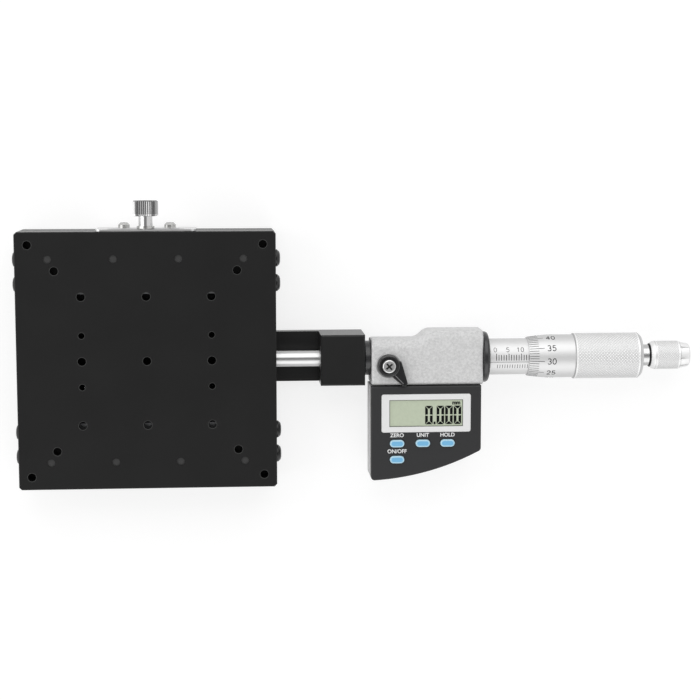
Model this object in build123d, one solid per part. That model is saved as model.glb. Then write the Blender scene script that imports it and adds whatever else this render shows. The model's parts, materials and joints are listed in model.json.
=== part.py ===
"""Linear translation stage with a digital micrometer drive.

A 100 mm square table runs on crossed rollers over a base of the same size.
A micrometer head in a bracket pushes the table through a contact pad, and two
extension springs pull the pad back against the spindle.
Frame: X along the travel towards the micrometer, Y across towards the table
lock, Z up, origin at the middle of the base's underside. Millimetres.
"""

from build123d import *
import math
import os

# ---- Driving dimensions ------------------------------------------------------
SIDE = 100.0                # table and base are square
HALF = SIDE / 2
TOP_Z = 25.0                # table face above the base's underside
TRAVEL = 12.5               # each way from the middle
CORNER = 1.0                # chamfer of the upright corners

# Fits.
RUNNING_FIT = 0.05          # radial clearance of what turns or slides
SEAT_FIT = 0.02             # radial clearance of what is screwed or pressed in
SCREW_FIT = 0.1             # radial clearance of a screw's through hole

# Screws: nominal radius, head radius and head height. Tapped holes are at core size.
M3 = (1.5, 2.75, 3.0)
M2 = (1.0, 1.9, 1.5)
FLAT_HEAD_R = 3.0           # countersunk M3
PAN_HEAD = (2.3, 2.0)       # pan-head M3: radius and height
M4_TAP_R = 1.65
M3_TAP_R = 1.25

# Crossed-roller guides, size 3: rails 8.3 x 8, rollers 3 in diameter.
RAIL_W = 8.3
RAIL_H = 8.0
RAIL_Z = 8.8                # underside of all four rails
RAIL_MID_Z = RAIL_Z + RAIL_H / 2
RAIL_GAP = 1.4              # between the two rails of a pair
RAIL_CHAMFER = 0.4
TRACK_Y = 34.0              # middle of each guide
RAIL_HOLE_BACK = 3.5        # mounting holes from the rail's back
RAIL_HOLE_X = (-37.5, -12.5, 12.5, 37.5)
RAIL_HOLE_R = 1.65
HEAD_SINK = 3.2             # depth of the rails' counterbores
HEAD_SINK_R = 3.0
ROLLER_D = 2.96
ROLLER_L = 2.6
ROLLER_COUNT = 14
ROLLER_PITCH = 5.0
V_REACH = 3.0 / math.sqrt(2)    # from the track's middle to the root of the V
V_SLOT = 0.25               # half width of the grinding slot in that root
CAGE_T = 0.7
CAGE_L = 70.0
CAGE_H = 5.2
CAGE_HOLE_R = 2.05

# Screws in the rails' ends, which stop the cages.
END_SCREW_L = 6.0
END_HEAD_R = 3.4
END_HEAD_H = 2.0

# Base and table sections.
FLOOR_Z = 8.2               # upper face of the base floor
LIP_Z = 11.0                # upper face of the base's side lips
LIP_Y = 44.0
RIB_Y = 25.0                # the base rails stand against the rib
RIB_Z = 15.8
CHANNEL_Y = 16.0            # the channel through the rib
SKIRT_Z = 12.0              # lower edge of the table's skirts
SKIRT_Y = 43.0              # the table rails lie against the skirts
UNDER_Z = 17.4              # underside of the table plate
RAIL_STEP = 0.4             # how far the rails' seats pass the middle of the track

# Hole patterns: reach from the centre lines.
MOUNT_XY = 45.0             # base underside and table corners
MOUNT_DEPTH = 6.5
CORNER_HOLE_DEPTH = 9.0
DIAGONAL_XY = 35.0
DIAGONAL_HOLE_DEPTH = 6.5
GRID = (-25.0, 0.0, 25.0)   # the table's nine through holes
SMALL_HOLE_X = 25.0
SMALL_HOLE_Y = 10.0

# Drive line.
DRIVE_Y = -1.0
DRIVE_Z = 13.0
SPINDLE_R = 3.25
SPINDLE_TIP_X = 36.0

# Bracket.
BRACKET_W = 20.0
ARM_T = 5.5
TONGUE_X = 18.0
BRACKET_SCREW_X = (24.0, 43.0)
BRACKET_SCREW_DY = 6.0
BLOCK_X0 = 67.5
BLOCK_X1 = 84.9
BLOCK_Z = 21.3
CLAMP_X = 76.0              # the set screw on the stem
CLAMP_R = 2.0
STEM_R = 6.0
STEM_X0 = 67.8
STEM_X1 = 91.0
STEM_NUT_R = 6.85

# Micrometer body, a casting that also carries the display.
BODY_X0 = 87.5
BODY_X1 = 131.65
BODY_BACK_Z = 4.7
BODY_FRONT_Z = 21.3
BODY_LOW_Y = -11.1
BODY_NECK_Y = 6.9           # upper edge beside the stem
BODY_HIGH_Y = 10.4          # upper edge over the encoder
SWELL_X0 = 103.8            # the upper edge rises between these two
SWELL_X1 = 111.6
BODY_ROUND = 3.6            # fillet along the upper edge
BODY_SHOULDER = 1.4         # fillet along the display
BODY_SOFT = 0.7             # fillet round both ends
BOSS_R = 2.3                # round the cover's screws
ENCODER_X0 = 112.0
ENCODER_R = 6.6
STATOR_X = (113.0, 115.0)
ROTOR_X = (116.0, 118.0)

# Display housing.
CASE_X0 = 87.1
CASE_X1 = 130.8
CASE_HIGH_Y = -11.4
CASE_LEFT_Y = -48.9
CASE_RIGHT_Y = -37.2
CASE_MID = (110.5, -45.3)   # the low edge is an arc through here
CASE_WALL = 1.6
CASE_FLOOR = 2.0
SPLIT_Z = 18.5              # joint between the casting and the cover
COVER_Z = 22.0
COVER_T = 1.8
COVER_SCREWS = [(90.6, -14.9), (127.4, -14.9), (90.6, -44.6), (127.4, -35.2)]
WINDOW_MID = (108.95, -22.15)
BEZEL_SIZE = (35.4, 15.2)
BEZEL_CORNER = 0.9
GLASS_SIZE = (29.2, 10.7)
GLASS_FOOT_T = 1.6
BUTTON_L = 5.7
BUTTON_W = 2.9
BUTTON_TOP_Z = 22.9
BUTTONS = {
    "zero_button": (97.4, -34.1),
    "unit_button": (107.6, -34.1),
    "hold_button": (117.4, -34.1),
    "power_button": (97.4, -40.5),
}
MAT_X = (93.2, 122.0)       # the rubber mat under the buttons, L-shaped
MAT_Y = (-43.3, -31.2)
MAT_STEP_X = 101.5
MAT_STEP_Y = -37.2
BOARD_Z = 16.0
BOARD_T = 1.0
NOTCH = 6.4                 # square notches in the board, round the cover's screws
CAP_XY = (105.0, -33.5)     # the battery's cap
CAP_R = 7.4
CELL_R = 5.8
CELL_T = 5.4

# Spindle lock lever on the casting.
LEVER_XY = (94.0, -3.1)
LEVER_SCREW_R = 1.5
LEVER_HEAD_R = 2.65
COLLAR_R = 4.9
LEVER_Z = 22.5
LEVER_T = 2.3
LEVER_HUB_R = 4.3
LEVER_ANGLE = -48.0
LEVER_L = 10.4
LEVER_TIP_R = 1.25
LEVER_ARM_Z = (0.3, 1.7)    # underside and top of the arm above the hub's foot

# Sleeve and thimble.
SLEEVE_R = 7.2
SLEEVE_BORE_R = 5.2
SPIGOT_R = 6.35
SPIGOT_X = 125.0
RING_X0 = 131.75
RING_X1 = 134.4
RING_R = 10.1
SLEEVE_END_X = 168.0
NUT_X0 = 154.0
EDGE_X = 150.1              # the thimble's reading edge
CONE_X = 156.5
BARREL_X = 160.0
KNURL_X = 168.5
THIMBLE_END_X = 195.9
EDGE_R = 7.75
CONE_R = 8.5
BARREL_R = 8.6
KNURL_R = 9.15
THIMBLE_WALL_X = 183.0      # end of the thimble's bore
THIMBLE_FIT = 0.07          # radial clearance over the sleeve

# Ratchet stop.
NECK_R = 4.25
NECK_SPIGOT_R = 2.4
PIN_R = 2.0
PIN_END_X = 211.5
RATCHET_X = 199.45          # where the knob starts
RATCHET_GAP = 0.3           # the dark groove between the neck and the knob
KNOB_R = 5.7
KNOB_GRIP_X = (202.0, 211.4)
KNOB_END_X = 215.7
KNOB_SLOTS = 8
KNOB_SLOT_W = 0.9
KNOB_SLOT_TURN = 6.0        # of the first slot from straight up
SPRING_POCKET_R = 3.2

# Table lock.
LOCK_X = 19.25
LOCK_T = 0.8
LOCK_Z0 = 3.5
LOCK_Z1 = 24.3
LOCK_SCREW_X = 9.0
LOCK_SCREW_Z = 7.5
LOCK_SCREW_L = 5.5
LOCK_RELIEF = 0.12          # keeps the open plate off the table's side
LOCK_GAP = 0.2              # washer off the plate when the lock is open
WASHER_T = 0.95
WASHER_R = 3.4
THUMB_Z = 20.0
THUMB_R = 2.0               # M4 shank
THUMB_TIP_Y = 41.5
NECK_Y = HALF + LOCK_T + LOCK_GAP + WASHER_T + 0.02
GRIP_Y = 55.8
THUMB_END_Y = 61.7
GRIP_R = 4.9
GRIP_TEETH = 36
TOOTH_DEPTH = 0.35

# Contact block under the table, which the spindle pushes.
CONTACT_X = 31.5
CONTACT_L = 8.0
CONTACT_W = 16.0
CONTACT_Z = 9.2
CONTACT_SCREW_DY = 5.6
PAD_R = 2.4

# Springs.
SPRING_Y = 13.0
SPRING_Z = 12.9
SPRING_R = 2.4
SPRING_WIRE = 0.6
EYE_R = 1.6
POST_R = 1.5
POST_FOOT_Z = 4.5
POST_SINK = 3.5             # depth of the table posts' holes
POST_TIP = 1.8              # how far a post passes the spring's eye
BASE_POST_X = 42.0
TABLE_POST_X = -30.0

MID = (Align.CENTER, Align.CENTER, Align.CENTER)
UP = (Align.CENTER, Align.CENTER, Align.MIN)
PARTS = {}


# ---- Helpers -----------------------------------------------------------------
def block(x0, x1, y0, y1, z0, z1):
    """A box between two corners."""
    size = Box(x1 - x0, y1 - y0, z1 - z0, align=(Align.MIN, Align.MIN, Align.MIN))
    return Pos(x0, y0, z0) * size


def rod_x(x0, x1, radius, y=DRIVE_Y, z=DRIVE_Z):
    """A round bar along X."""
    return Pos(x0, y, z) * Rot(0, 90, 0) * Cylinder(radius, x1 - x0, align=UP)


def rod_y(y0, y1, radius, x, z):
    """A round bar along Y."""
    return Pos(x, y0, z) * Rot(-90, 0, 0) * Cylinder(radius, y1 - y0, align=UP)


def rod_z(z0, z1, radius, x, y):
    """A round bar along Z."""
    return Pos(x, y, z0) * Cylinder(radius, z1 - z0, align=UP)


def turned(profile):
    """A solid turned about the drive line from (x, radius) points."""
    outline = Polyline([(x, 0, radius) for x, radius in profile], close=True)
    return Pos(0, DRIVE_Y, DRIVE_Z) * revolve(make_face(outline), Axis.X)


def section(points, x0, x1):
    """A (y, z) outline carried along X."""
    face = make_face(Polyline([(x0, y, z) for y, z in points], close=True))
    return extrude(face, amount=x1 - x0, dir=(1, 0, 0))


def mirrored(points):
    """Points of one half of a (y, z) outline, with the other half added."""
    return points + [(-y, z) for y, z in reversed(points)]


def socket_screw(size, length):
    """A cap screw with a hex socket, head up, its head seated at Z = 0."""
    radius, head_r, head_h = size
    head = Cylinder(head_r, head_h, align=UP)
    shank = Pos(0, 0, -length) * Cylinder(radius, length, align=UP)
    socket = extrude(RegularPolygon(head_r * 0.53, 6), amount=head_h * 0.55)
    return head + shank - Pos(0, 0, head_h * 0.45) * socket


def flat_screw(radius, head_r, length):
    """A countersunk screw with its head's face at Z = 0, pointing down."""
    depth = head_r - radius
    head = Pos(0, 0, -depth / 2) * Cone(radius, head_r, depth)
    shank = Pos(0, 0, -length) * Cylinder(radius, length, align=UP)
    socket = extrude(RegularPolygon(radius * 0.75, 6), amount=-depth)
    return head + shank - socket


def round_head_screw(radius, head_r, head_h, length):
    """A button-head screw with a hex socket, head up, seated at Z = 0."""
    outline = Polyline([
        (0, 0, -length), (radius, 0, -length), (radius, 0, 0), (head_r, 0, 0),
        (head_r, 0, head_h * 0.4), (head_r * 0.75, 0, head_h * 0.85), (head_r * 0.45, 0, head_h),
        (0, 0, head_h),
    ], close=True)
    solid = revolve(make_face(outline), Axis.Z)
    socket = extrude(RegularPolygon(head_r * 0.34, 6), amount=head_h * 0.7)
    return solid - Pos(0, 0, head_h * 0.4) * socket


def cross_screw(radius, head_r, head_h, length, ease=chamfer):
    """A pan-head screw with a cross recess, head up, seated at Z = 0.

    ease is chamfer or fillet, and takes the rim off the head.
    """
    head = ease(Cylinder(head_r, head_h, align=UP).edges().sort_by(Axis.Z)[-1], head_h * 0.45)
    shank = Pos(0, 0, -length) * Cylinder(radius, length, align=UP)
    bar = Box(head_r * 1.15, head_r * 0.26, head_h, align=UP)
    recess = Pos(0, 0, head_h * 0.5) * (bar + Rot(0, 0, 90) * bar)
    return head + shank - recess


def along_x(solid, x, y, z, sign):
    """Turns a screw that points down so that its head faces +X or -X."""
    return Pos(x, y, z) * Rot(0, 90 * sign, 0) * solid


def keep(name, *solids):
    """Files the solids of one piece, or of a set of like fasteners."""
    PARTS[name] = solids[0] if len(solids) == 1 else Compound(children=list(solids))


# ---- Base --------------------------------------------------------------------
def base_plate():
    """A floor with side lips and a ribbed middle, milled from one plate."""
    half = [
        (HALF, 0), (HALF, LIP_Z), (LIP_Y, LIP_Z), (LIP_Y, FLOOR_Z),
        (TRACK_Y - RAIL_STEP, FLOOR_Z), (TRACK_Y - RAIL_STEP, RAIL_Z), (RIB_Y, RAIL_Z),
        (RIB_Y, RIB_Z), (CHANNEL_Y, RIB_Z), (CHANNEL_Y, FLOOR_Z),
    ]
    plate = section(mirrored(half), -HALF, HALF)
    corners = [e for e in plate.edges().filter_by(Axis.Z) if abs(abs(e.center().Y) - HALF) < 0.1]
    plate = chamfer(corners, CORNER)
    plate -= block(TONGUE_X, HALF + 1, DRIVE_Y - BRACKET_W / 2, DRIVE_Y + BRACKET_W / 2, -1, ARM_T)
    for x in (-MOUNT_XY, MOUNT_XY):
        for y in (-MOUNT_XY, MOUNT_XY):
            plate -= rod_z(-1, MOUNT_DEPTH, M4_TAP_R, x, y)
    for x in RAIL_HOLE_X:
        for y in (-base_hole_y(), base_hole_y()):
            plate -= rod_z(-1, RAIL_Z + 1, M3[0] + SEAT_FIT, x, y)
    for x in (-LOCK_SCREW_X, LOCK_SCREW_X):
        plate -= rod_y(LIP_Y, HALF + 1, M3[0] + SEAT_FIT, x, LOCK_SCREW_Z)
    for y in (-SPRING_Y, SPRING_Y):
        plate -= rod_z(POST_FOOT_Z, FLOOR_Z + 1, POST_R + SEAT_FIT, BASE_POST_X, y)
    for x, y in bracket_screw_places():
        plate -= rod_z(ARM_T - 1, FLOOR_Z + 1, M3[0] + SEAT_FIT, x, y)
    return plate


def base_hole_y():
    """Mounting holes of the base rails."""
    return RIB_Y + RAIL_HOLE_BACK


def table_hole_y():
    """Mounting holes of the table rails."""
    return SKIRT_Y - RAIL_HOLE_BACK


def bracket_screw_places():
    """Four screws through the bracket's tongue into the base."""
    return [(x, DRIVE_Y + dy) for x in BRACKET_SCREW_X for dy in (-BRACKET_SCREW_DY, BRACKET_SCREW_DY)]


def rail(back_y, side, seat_up):
    """A V-rail with its back at back_y and its groove towards the track.

    side is the way from the back to the groove, along Y. seat_up is true for
    a rail that hangs from the table: its counterbores open downwards.
    """
    face_y = back_y + side * RAIL_W
    root_y = face_y + side * (RAIL_GAP / 2 - V_REACH)
    mouth = V_REACH - RAIL_GAP / 2
    slot = V_SLOT
    c = RAIL_CHAMFER
    outline = [
        (back_y, RAIL_Z + c), (back_y, RAIL_Z + RAIL_H - c),
        (back_y + side * c, RAIL_Z + RAIL_H), (face_y - side * c, RAIL_Z + RAIL_H),
        (face_y, RAIL_Z + RAIL_H - c), (face_y, RAIL_MID_Z + mouth),
        (root_y + side * slot, RAIL_MID_Z + slot), (root_y - side * slot, RAIL_MID_Z + slot),
        (root_y - side * slot, RAIL_MID_Z - slot), (root_y + side * slot, RAIL_MID_Z - slot),
        (face_y, RAIL_MID_Z - mouth), (face_y, RAIL_Z + c),
        (face_y - side * c, RAIL_Z), (back_y + side * c, RAIL_Z),
    ]
    solid = section(outline, -HALF, HALF)
    hole_y = back_y + side * RAIL_HOLE_BACK
    for x in RAIL_HOLE_X:
        solid -= rod_z(RAIL_Z - 1, RAIL_Z + RAIL_H + 1, RAIL_HOLE_R, x, hole_y)
        if seat_up:
            solid -= rod_z(RAIL_Z - 1, RAIL_Z + HEAD_SINK, HEAD_SINK_R, x, hole_y)
        else:
            solid -= rod_z(RAIL_Z + RAIL_H - HEAD_SINK, RAIL_Z + RAIL_H + 1, HEAD_SINK_R, x, hole_y)
    mid_y = rail_mid_y(back_y, side)
    for x in (-HALF, HALF):
        solid -= rod_x(x - END_SCREW_L, x + END_SCREW_L, M3[0] + SEAT_FIT, mid_y, RAIL_MID_Z)
    return solid


def rail_mid_y(back_y, side):
    """The middle of a rail's width, where its end screws are."""
    return back_y + side * RAIL_W / 2


def rail_screws(y, seat_up):
    """The four cap screws of one rail."""
    length = TOP_Z - 0.5 - RAIL_Z - HEAD_SINK if seat_up else RAIL_Z + RAIL_H - HEAD_SINK - 0.5
    screw = socket_screw(M3, length)
    if seat_up:
        return [Pos(x, y, RAIL_Z + HEAD_SINK) * Rot(180, 0, 0) * screw for x in RAIL_HOLE_X]
    return [Pos(x, y, RAIL_Z + RAIL_H - HEAD_SINK) * screw for x in RAIL_HOLE_X]


def end_screws(back_y, side):
    """The two screws in the ends of one rail, which stop the roller cage."""
    screw = round_head_screw(M3[0], END_HEAD_R, END_HEAD_H, END_SCREW_L)
    y = rail_mid_y(back_y, side)
    return [along_x(screw, sign * HALF, y, RAIL_MID_Z, sign) for sign in (-1, 1)]


def lock_plate():
    """A spring-steel strip on the base's side, slotted for the thumb screw."""
    slot_reach = TRAVEL + THUMB_R + 0.3
    outline = RectangleRounded(2 * LOCK_X, LOCK_Z1 - LOCK_Z0, 2.0)
    flat = Pos(0, 0, (LOCK_Z0 + LOCK_Z1) / 2) * Rot(90, 0, 0) * outline
    plate = Pos(0, HALF, 0) * extrude(flat, amount=LOCK_T, dir=(0, 1, 0))
    plate -= block(-LOCK_X - 1, LOCK_X + 1, HALF - 1, HALF + LOCK_RELIEF, LIP_Z, LOCK_Z1 + 1)
    slot = Pos(0, 0, THUMB_Z) * Rot(90, 0, 0) * SlotOverall(2 * slot_reach, 2 * THUMB_R + 0.4)
    plate -= Pos(0, HALF - 1, 0) * extrude(slot, amount=LOCK_T + 2, dir=(0, 1, 0))
    for x in (-LOCK_SCREW_X, LOCK_SCREW_X):
        plate -= rod_y(HALF - 1, HALF + LOCK_T + 1, M3[0] + SCREW_FIT, x, LOCK_SCREW_Z)
    return plate


def lock_plate_screws():
    """Two pan-head screws that hold the lock plate."""
    screw = Rot(-90, 0, 0) * cross_screw(M3[0], *PAN_HEAD, LOCK_SCREW_L)
    return [Pos(x, HALF + LOCK_T, LOCK_SCREW_Z) * screw for x in (-LOCK_SCREW_X, LOCK_SCREW_X)]


def spring_posts(x, foot_z, tip_z, hook_z):
    """Two pins with a groove that keeps the spring's eye in place."""
    pins = []
    for y in (-SPRING_Y, SPRING_Y):
        pin = rod_z(min(foot_z, tip_z), max(foot_z, tip_z), POST_R, x, y)
        band = rod_z(hook_z - 0.5, hook_z + 0.5, POST_R + 1, x, y)
        core = rod_z(hook_z - 0.5, hook_z + 0.5, POST_R - 0.3, x, y)
        pins.append(pin - (band - core))
    return pins


# ---- Bracket and micrometer stem ---------------------------------------------
def bracket():
    """The tongue under the base, the open arm and the clamp block."""
    low_y = DRIVE_Y - BRACKET_W / 2
    high_y = DRIVE_Y + BRACKET_W / 2
    upright = block(BLOCK_X0, BLOCK_X1, low_y, high_y, 0, BLOCK_Z)
    upright = chamfer(upright.edges().group_by(Axis.Z)[-1], 0.6)
    solid = block(TONGUE_X, BLOCK_X0 + 1, low_y, high_y, 0, ARM_T) + upright
    solid -= rod_x(BLOCK_X0 - 1, BLOCK_X1 + 1, STEM_R + SEAT_FIT)
    for x, y in bracket_screw_places():
        solid -= rod_z(-1, ARM_T + 1, M3[0] + SCREW_FIT, x, y)
        solid -= Pos(x, y, 0) * Cone(FLAT_HEAD_R + SCREW_FIT, M3[0] + SCREW_FIT, 1.5, align=UP)
    solid -= rod_y(low_y - 1, DRIVE_Y, CLAMP_R + SEAT_FIT, CLAMP_X, DRIVE_Z)
    return solid


def bracket_screws():
    """Four countersunk screws, flush with the bracket's underside."""
    screw = Rot(180, 0, 0) * flat_screw(M3[0], FLAT_HEAD_R, FLOOR_Z - 0.4)
    return [Pos(x, y, 0) * screw for x, y in bracket_screw_places()]


def clamp_screw():
    """The set screw that holds the stem in the bracket."""
    tip_y = DRIVE_Y - STEM_R - SEAT_FIT
    foot_y = DRIVE_Y - BRACKET_W / 2 + 0.3
    screw = rod_y(foot_y, tip_y, CLAMP_R, CLAMP_X, DRIVE_Z)
    socket = Rot(90, 0, 0) * extrude(RegularPolygon(1.15, 6), amount=1.5)
    return screw - Pos(CLAMP_X, foot_y + 1.5, DRIVE_Z) * socket


def stem():
    """The micrometer's nose, which guides the spindle."""
    bore = SPINDLE_R + RUNNING_FIT
    return turned([
        (STEM_X0, bore), (STEM_X0, STEM_R - 0.4), (STEM_X0 + 0.4, STEM_R),
        (STEM_X1, STEM_R), (STEM_X1, bore),
    ])


def stem_nut():
    """The black ring nut between the bracket and the casting."""
    x0 = BLOCK_X1 + 0.1
    x1 = BODY_X0 - 0.05
    bore = STEM_R + SEAT_FIT
    return turned([
        (x0, bore), (x0, STEM_NUT_R - 0.3), (x0 + 0.3, STEM_NUT_R),
        (x1 - 0.3, STEM_NUT_R), (x1, STEM_NUT_R - 0.3), (x1, bore),
    ])


# ---- Micrometer body and display ---------------------------------------------
def case_outline():
    """The display housing's outline: straight sides and one long low arc."""
    top = Line((CASE_X1, CASE_HIGH_Y), (CASE_X0, CASE_HIGH_Y))
    left = Line((CASE_X0, CASE_HIGH_Y), (CASE_X0, CASE_LEFT_Y))
    low = ThreePointArc((CASE_X0, CASE_LEFT_Y), CASE_MID, (CASE_X1, CASE_RIGHT_Y))
    right = Line((CASE_X1, CASE_RIGHT_Y), (CASE_X1, CASE_HIGH_Y))
    face = make_face(top + left + low + right)
    low_corners = face.vertices().sort_by(Axis.Y)[:2]
    return fillet(low_corners, 1.5)


def case_block(z0, z1, inset=0.0):
    """The housing's outline, moved in by the inset, between two heights."""
    face = case_outline()
    if inset:
        face = offset(face, amount=-inset)
    return Pos(0, 0, z0) * extrude(face, amount=z1 - z0)


def is_upright(edge):
    """True for an edge that runs along Z."""
    return edge.bounding_box().size.Z > 1


def is_end_edge(edge):
    """True for an edge that lies in one of the barrel's end faces."""
    return edge.bounding_box().size.X < 0.1


def barrel():
    """The upper half of the casting, which swells over the encoder."""
    rise = (SWELL_X1 - SWELL_X0) / 2
    edges = [
        Line((BODY_X0, BODY_LOW_Y), (BODY_X1, BODY_LOW_Y)),
        Line((BODY_X1, BODY_LOW_Y), (BODY_X1, BODY_HIGH_Y)),
        Line((BODY_X1, BODY_HIGH_Y), (SWELL_X1, BODY_HIGH_Y)),
        Bezier(
            (SWELL_X1, BODY_HIGH_Y), (SWELL_X1 - rise, BODY_HIGH_Y),
            (SWELL_X0 + rise, BODY_NECK_Y), (SWELL_X0, BODY_NECK_Y),
        ),
        Line((SWELL_X0, BODY_NECK_Y), (BODY_X0, BODY_NECK_Y)),
        Line((BODY_X0, BODY_NECK_Y), (BODY_X0, BODY_LOW_Y)),
    ]
    face = make_face(Curve() + edges)
    solid = Pos(0, 0, BODY_BACK_Z) * extrude(face, amount=BODY_FRONT_Z - BODY_BACK_Z)
    lengthwise = [e for e in solid.edges() if not is_upright(e) and not is_end_edge(e)]
    solid = fillet([e for e in lengthwise if e.center().Y > BODY_NECK_Y - 0.1], BODY_ROUND)
    front = solid.faces().sort_by(Axis.Z)[-1]
    solid = fillet(front.edges().sort_by(Axis.Y)[0], BODY_SHOULDER)
    ends = solid.faces().filter_by(Axis.X)
    return fillet(ends.edges(), BODY_SOFT)


def micrometer_body():
    """The casting: the barrel, and below it a tray for the display."""
    tray = case_block(BODY_BACK_Z, SPLIT_Z)
    tray = chamfer(tray.faces().sort_by(Axis.Z)[0].edges(), 0.8)
    tray -= case_block(BODY_BACK_Z + CASE_FLOOR, SPLIT_Z + 1, CASE_WALL)
    bridge = block(
        CASE_X0 + 2, CASE_X1 - 2, CASE_HIGH_Y - 0.5, BODY_LOW_Y + 3, BODY_BACK_Z + 1, SPLIT_Z - 0.6,
    )
    solid = barrel() + tray + bridge
    for x, y in COVER_SCREWS:
        solid += rod_z(BODY_BACK_Z + 1, SPLIT_Z, BOSS_R, x, y)
    for x, y in COVER_SCREWS:
        solid -= rod_z(0, SPLIT_Z + 1, M2[0] + SEAT_FIT, x, y)
        solid -= rod_z(0, BODY_BACK_Z + M2[2] + 0.2, M2[1] + 0.15, x, y)
    solid -= rod_x(BODY_X0 - 1, BODY_X1 + 1, SPINDLE_R + 0.2)
    solid -= rod_x(BODY_X0 - 1, STEM_X1 + 0.1, STEM_R + SEAT_FIT)
    solid -= rod_x(ENCODER_X0, BODY_X1 + 1, ENCODER_R)
    solid -= rod_z(DRIVE_Z + SPINDLE_R * 0.5, BODY_FRONT_Z + 1, LEVER_SCREW_R + RUNNING_FIT, *LEVER_XY)
    solid -= rod_z(0, BODY_BACK_Z + CASE_FLOOR + 1, CAP_R + RUNNING_FIT, *CAP_XY)
    return solid


def display_cover():
    """The black front of the display housing, with its window and button holes."""
    solid = case_block(SPLIT_Z, COVER_Z)
    solid = fillet(solid.faces().sort_by(Axis.Z)[-1].edges(), 0.5)
    solid -= case_block(SPLIT_Z - 1, COVER_Z - COVER_T, CASE_WALL)
    for x, y in COVER_SCREWS:
        solid += rod_z(SPLIT_Z, COVER_Z - COVER_T + 0.2, BOSS_R, x, y)
    for x, y in COVER_SCREWS:
        solid -= rod_z(SPLIT_Z - 1, COVER_Z - COVER_T, M2[0] + SEAT_FIT, x, y)
    solid -= Pos(*WINDOW_MID, SPLIT_Z) * extrude(RectangleRounded(*BEZEL_SIZE, BEZEL_CORNER), amount=5)
    for x, y in BUTTONS.values():
        hole = SlotOverall(BUTTON_L + 2 * RUNNING_FIT, BUTTON_W + 2 * RUNNING_FIT)
        solid -= Pos(x, y, SPLIT_Z) * extrude(hole, amount=5)
    return solid


def display_bezel():
    """The white frame around the glass, seated in the cover's window."""
    size = [side - 2 * SEAT_FIT for side in BEZEL_SIZE]
    frame = extrude(RectangleRounded(*size, BEZEL_CORNER), amount=COVER_T + 0.15)
    frame = chamfer(frame.faces().sort_by(Axis.Z)[-1].edges(), 0.2)
    frame = Pos(*WINDOW_MID, COVER_Z - COVER_T) * frame
    return frame - Pos(*WINDOW_MID, SPLIT_Z) * extrude(Rectangle(*GLASS_SIZE), amount=5)


def lcd_panel():
    """The glass of the display, stepped to lie behind and inside the bezel."""
    foot = Box(GLASS_SIZE[0] + 3, GLASS_SIZE[1] + 2.6, GLASS_FOOT_T, align=UP)
    glass = Box(GLASS_SIZE[0] - 0.1, GLASS_SIZE[1] - 0.1, 1.4, align=UP)
    return Pos(*WINDOW_MID, COVER_Z - COVER_T - GLASS_FOOT_T) * (foot + Pos(0, 0, GLASS_FOOT_T) * glass)


def button(x, y):
    """An obround cap with a flange that stays behind the cover."""
    flange_z = COVER_Z - COVER_T - 0.1
    cap = Pos(x, y, flange_z) * extrude(SlotOverall(BUTTON_L, BUTTON_W), amount=BUTTON_TOP_Z - flange_z)
    cap = fillet(cap.faces().sort_by(Axis.Z)[-1].edges(), 0.35)
    return cap + Pos(x, y, flange_z - 0.5) * extrude(SlotOverall(BUTTON_L + 1.2, BUTTON_W + 1.2), amount=0.5)


def button_pad():
    """The rubber mat with a dome under each button."""
    pad_z = BOARD_Z + BOARD_T
    mat = block(*MAT_X, *MAT_Y, pad_z, pad_z + 0.8)
    mat -= block(MAT_STEP_X, MAT_X[1] + 1, MAT_Y[0] - 1, MAT_STEP_Y, pad_z - 1, pad_z + 2)
    for x, y in BUTTONS.values():
        mat += Pos(x, y, pad_z + 0.6) * Cone(1.5, 1.0, 0.8, align=UP)
    return mat


def circuit_board():
    """The board behind the display, cut to the housing."""
    board = case_block(BOARD_Z, BOARD_Z + BOARD_T, CASE_WALL + 0.4)
    for x, y in COVER_SCREWS:
        board -= Pos(x, y, BOARD_Z) * Box(NOTCH, NOTCH, 3 * BOARD_T, align=MID)
    return board


def display_connector():
    """The rubber strip that joins the board to the glass."""
    y = WINDOW_MID[1] - GLASS_SIZE[1] / 2 - 0.5
    z1 = COVER_Z - COVER_T - GLASS_FOOT_T
    return block(WINDOW_MID[0] - 13, WINDOW_MID[0] + 13, y - 0.6, y + 0.6, BOARD_Z + BOARD_T, z1)


def battery():
    """A button cell behind the coin-slot cap."""
    low_z = BODY_BACK_Z + CASE_FLOOR + 0.7
    cell = rod_z(low_z, low_z + CELL_T, CELL_R, *CAP_XY)
    return chamfer(cell.faces().sort_by(Axis.Z)[0].edges(), 0.4)


def battery_contact():
    """The spring strip between the cell and the board."""
    x, y = CAP_XY
    low_z = BODY_BACK_Z + CASE_FLOOR + 6.15
    strip = block(x - 3, x + 3, y - 2, y + 2, low_z, low_z + 0.3)
    return strip + block(x + 2.7, x + 3, y - 2, y + 2, low_z, BOARD_Z)


def battery_cap():
    """A round cap, turned with a coin."""
    top_z = BODY_BACK_Z + CASE_FLOOR + 0.6
    cap = rod_z(BODY_BACK_Z + 0.1, top_z, CAP_R, *CAP_XY)
    cap = chamfer(cap.faces().sort_by(Axis.Z)[0].edges(), 0.4)
    x, y = CAP_XY
    return cap - block(x - 4.8, x + 4.8, y - 0.9, y + 0.9, 0, BODY_BACK_Z + 1.2)


def cover_screws():
    """Four small screws that hold the cover from the back of the casting."""
    length = COVER_Z - COVER_T - BODY_BACK_Z - M2[2] - 0.3
    screw = Rot(180, 0, 0) * cross_screw(M2[0], M2[1], M2[2], length)
    return [Pos(x, y, BODY_BACK_Z + M2[2] + 0.2) * screw for x, y in COVER_SCREWS]


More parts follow.
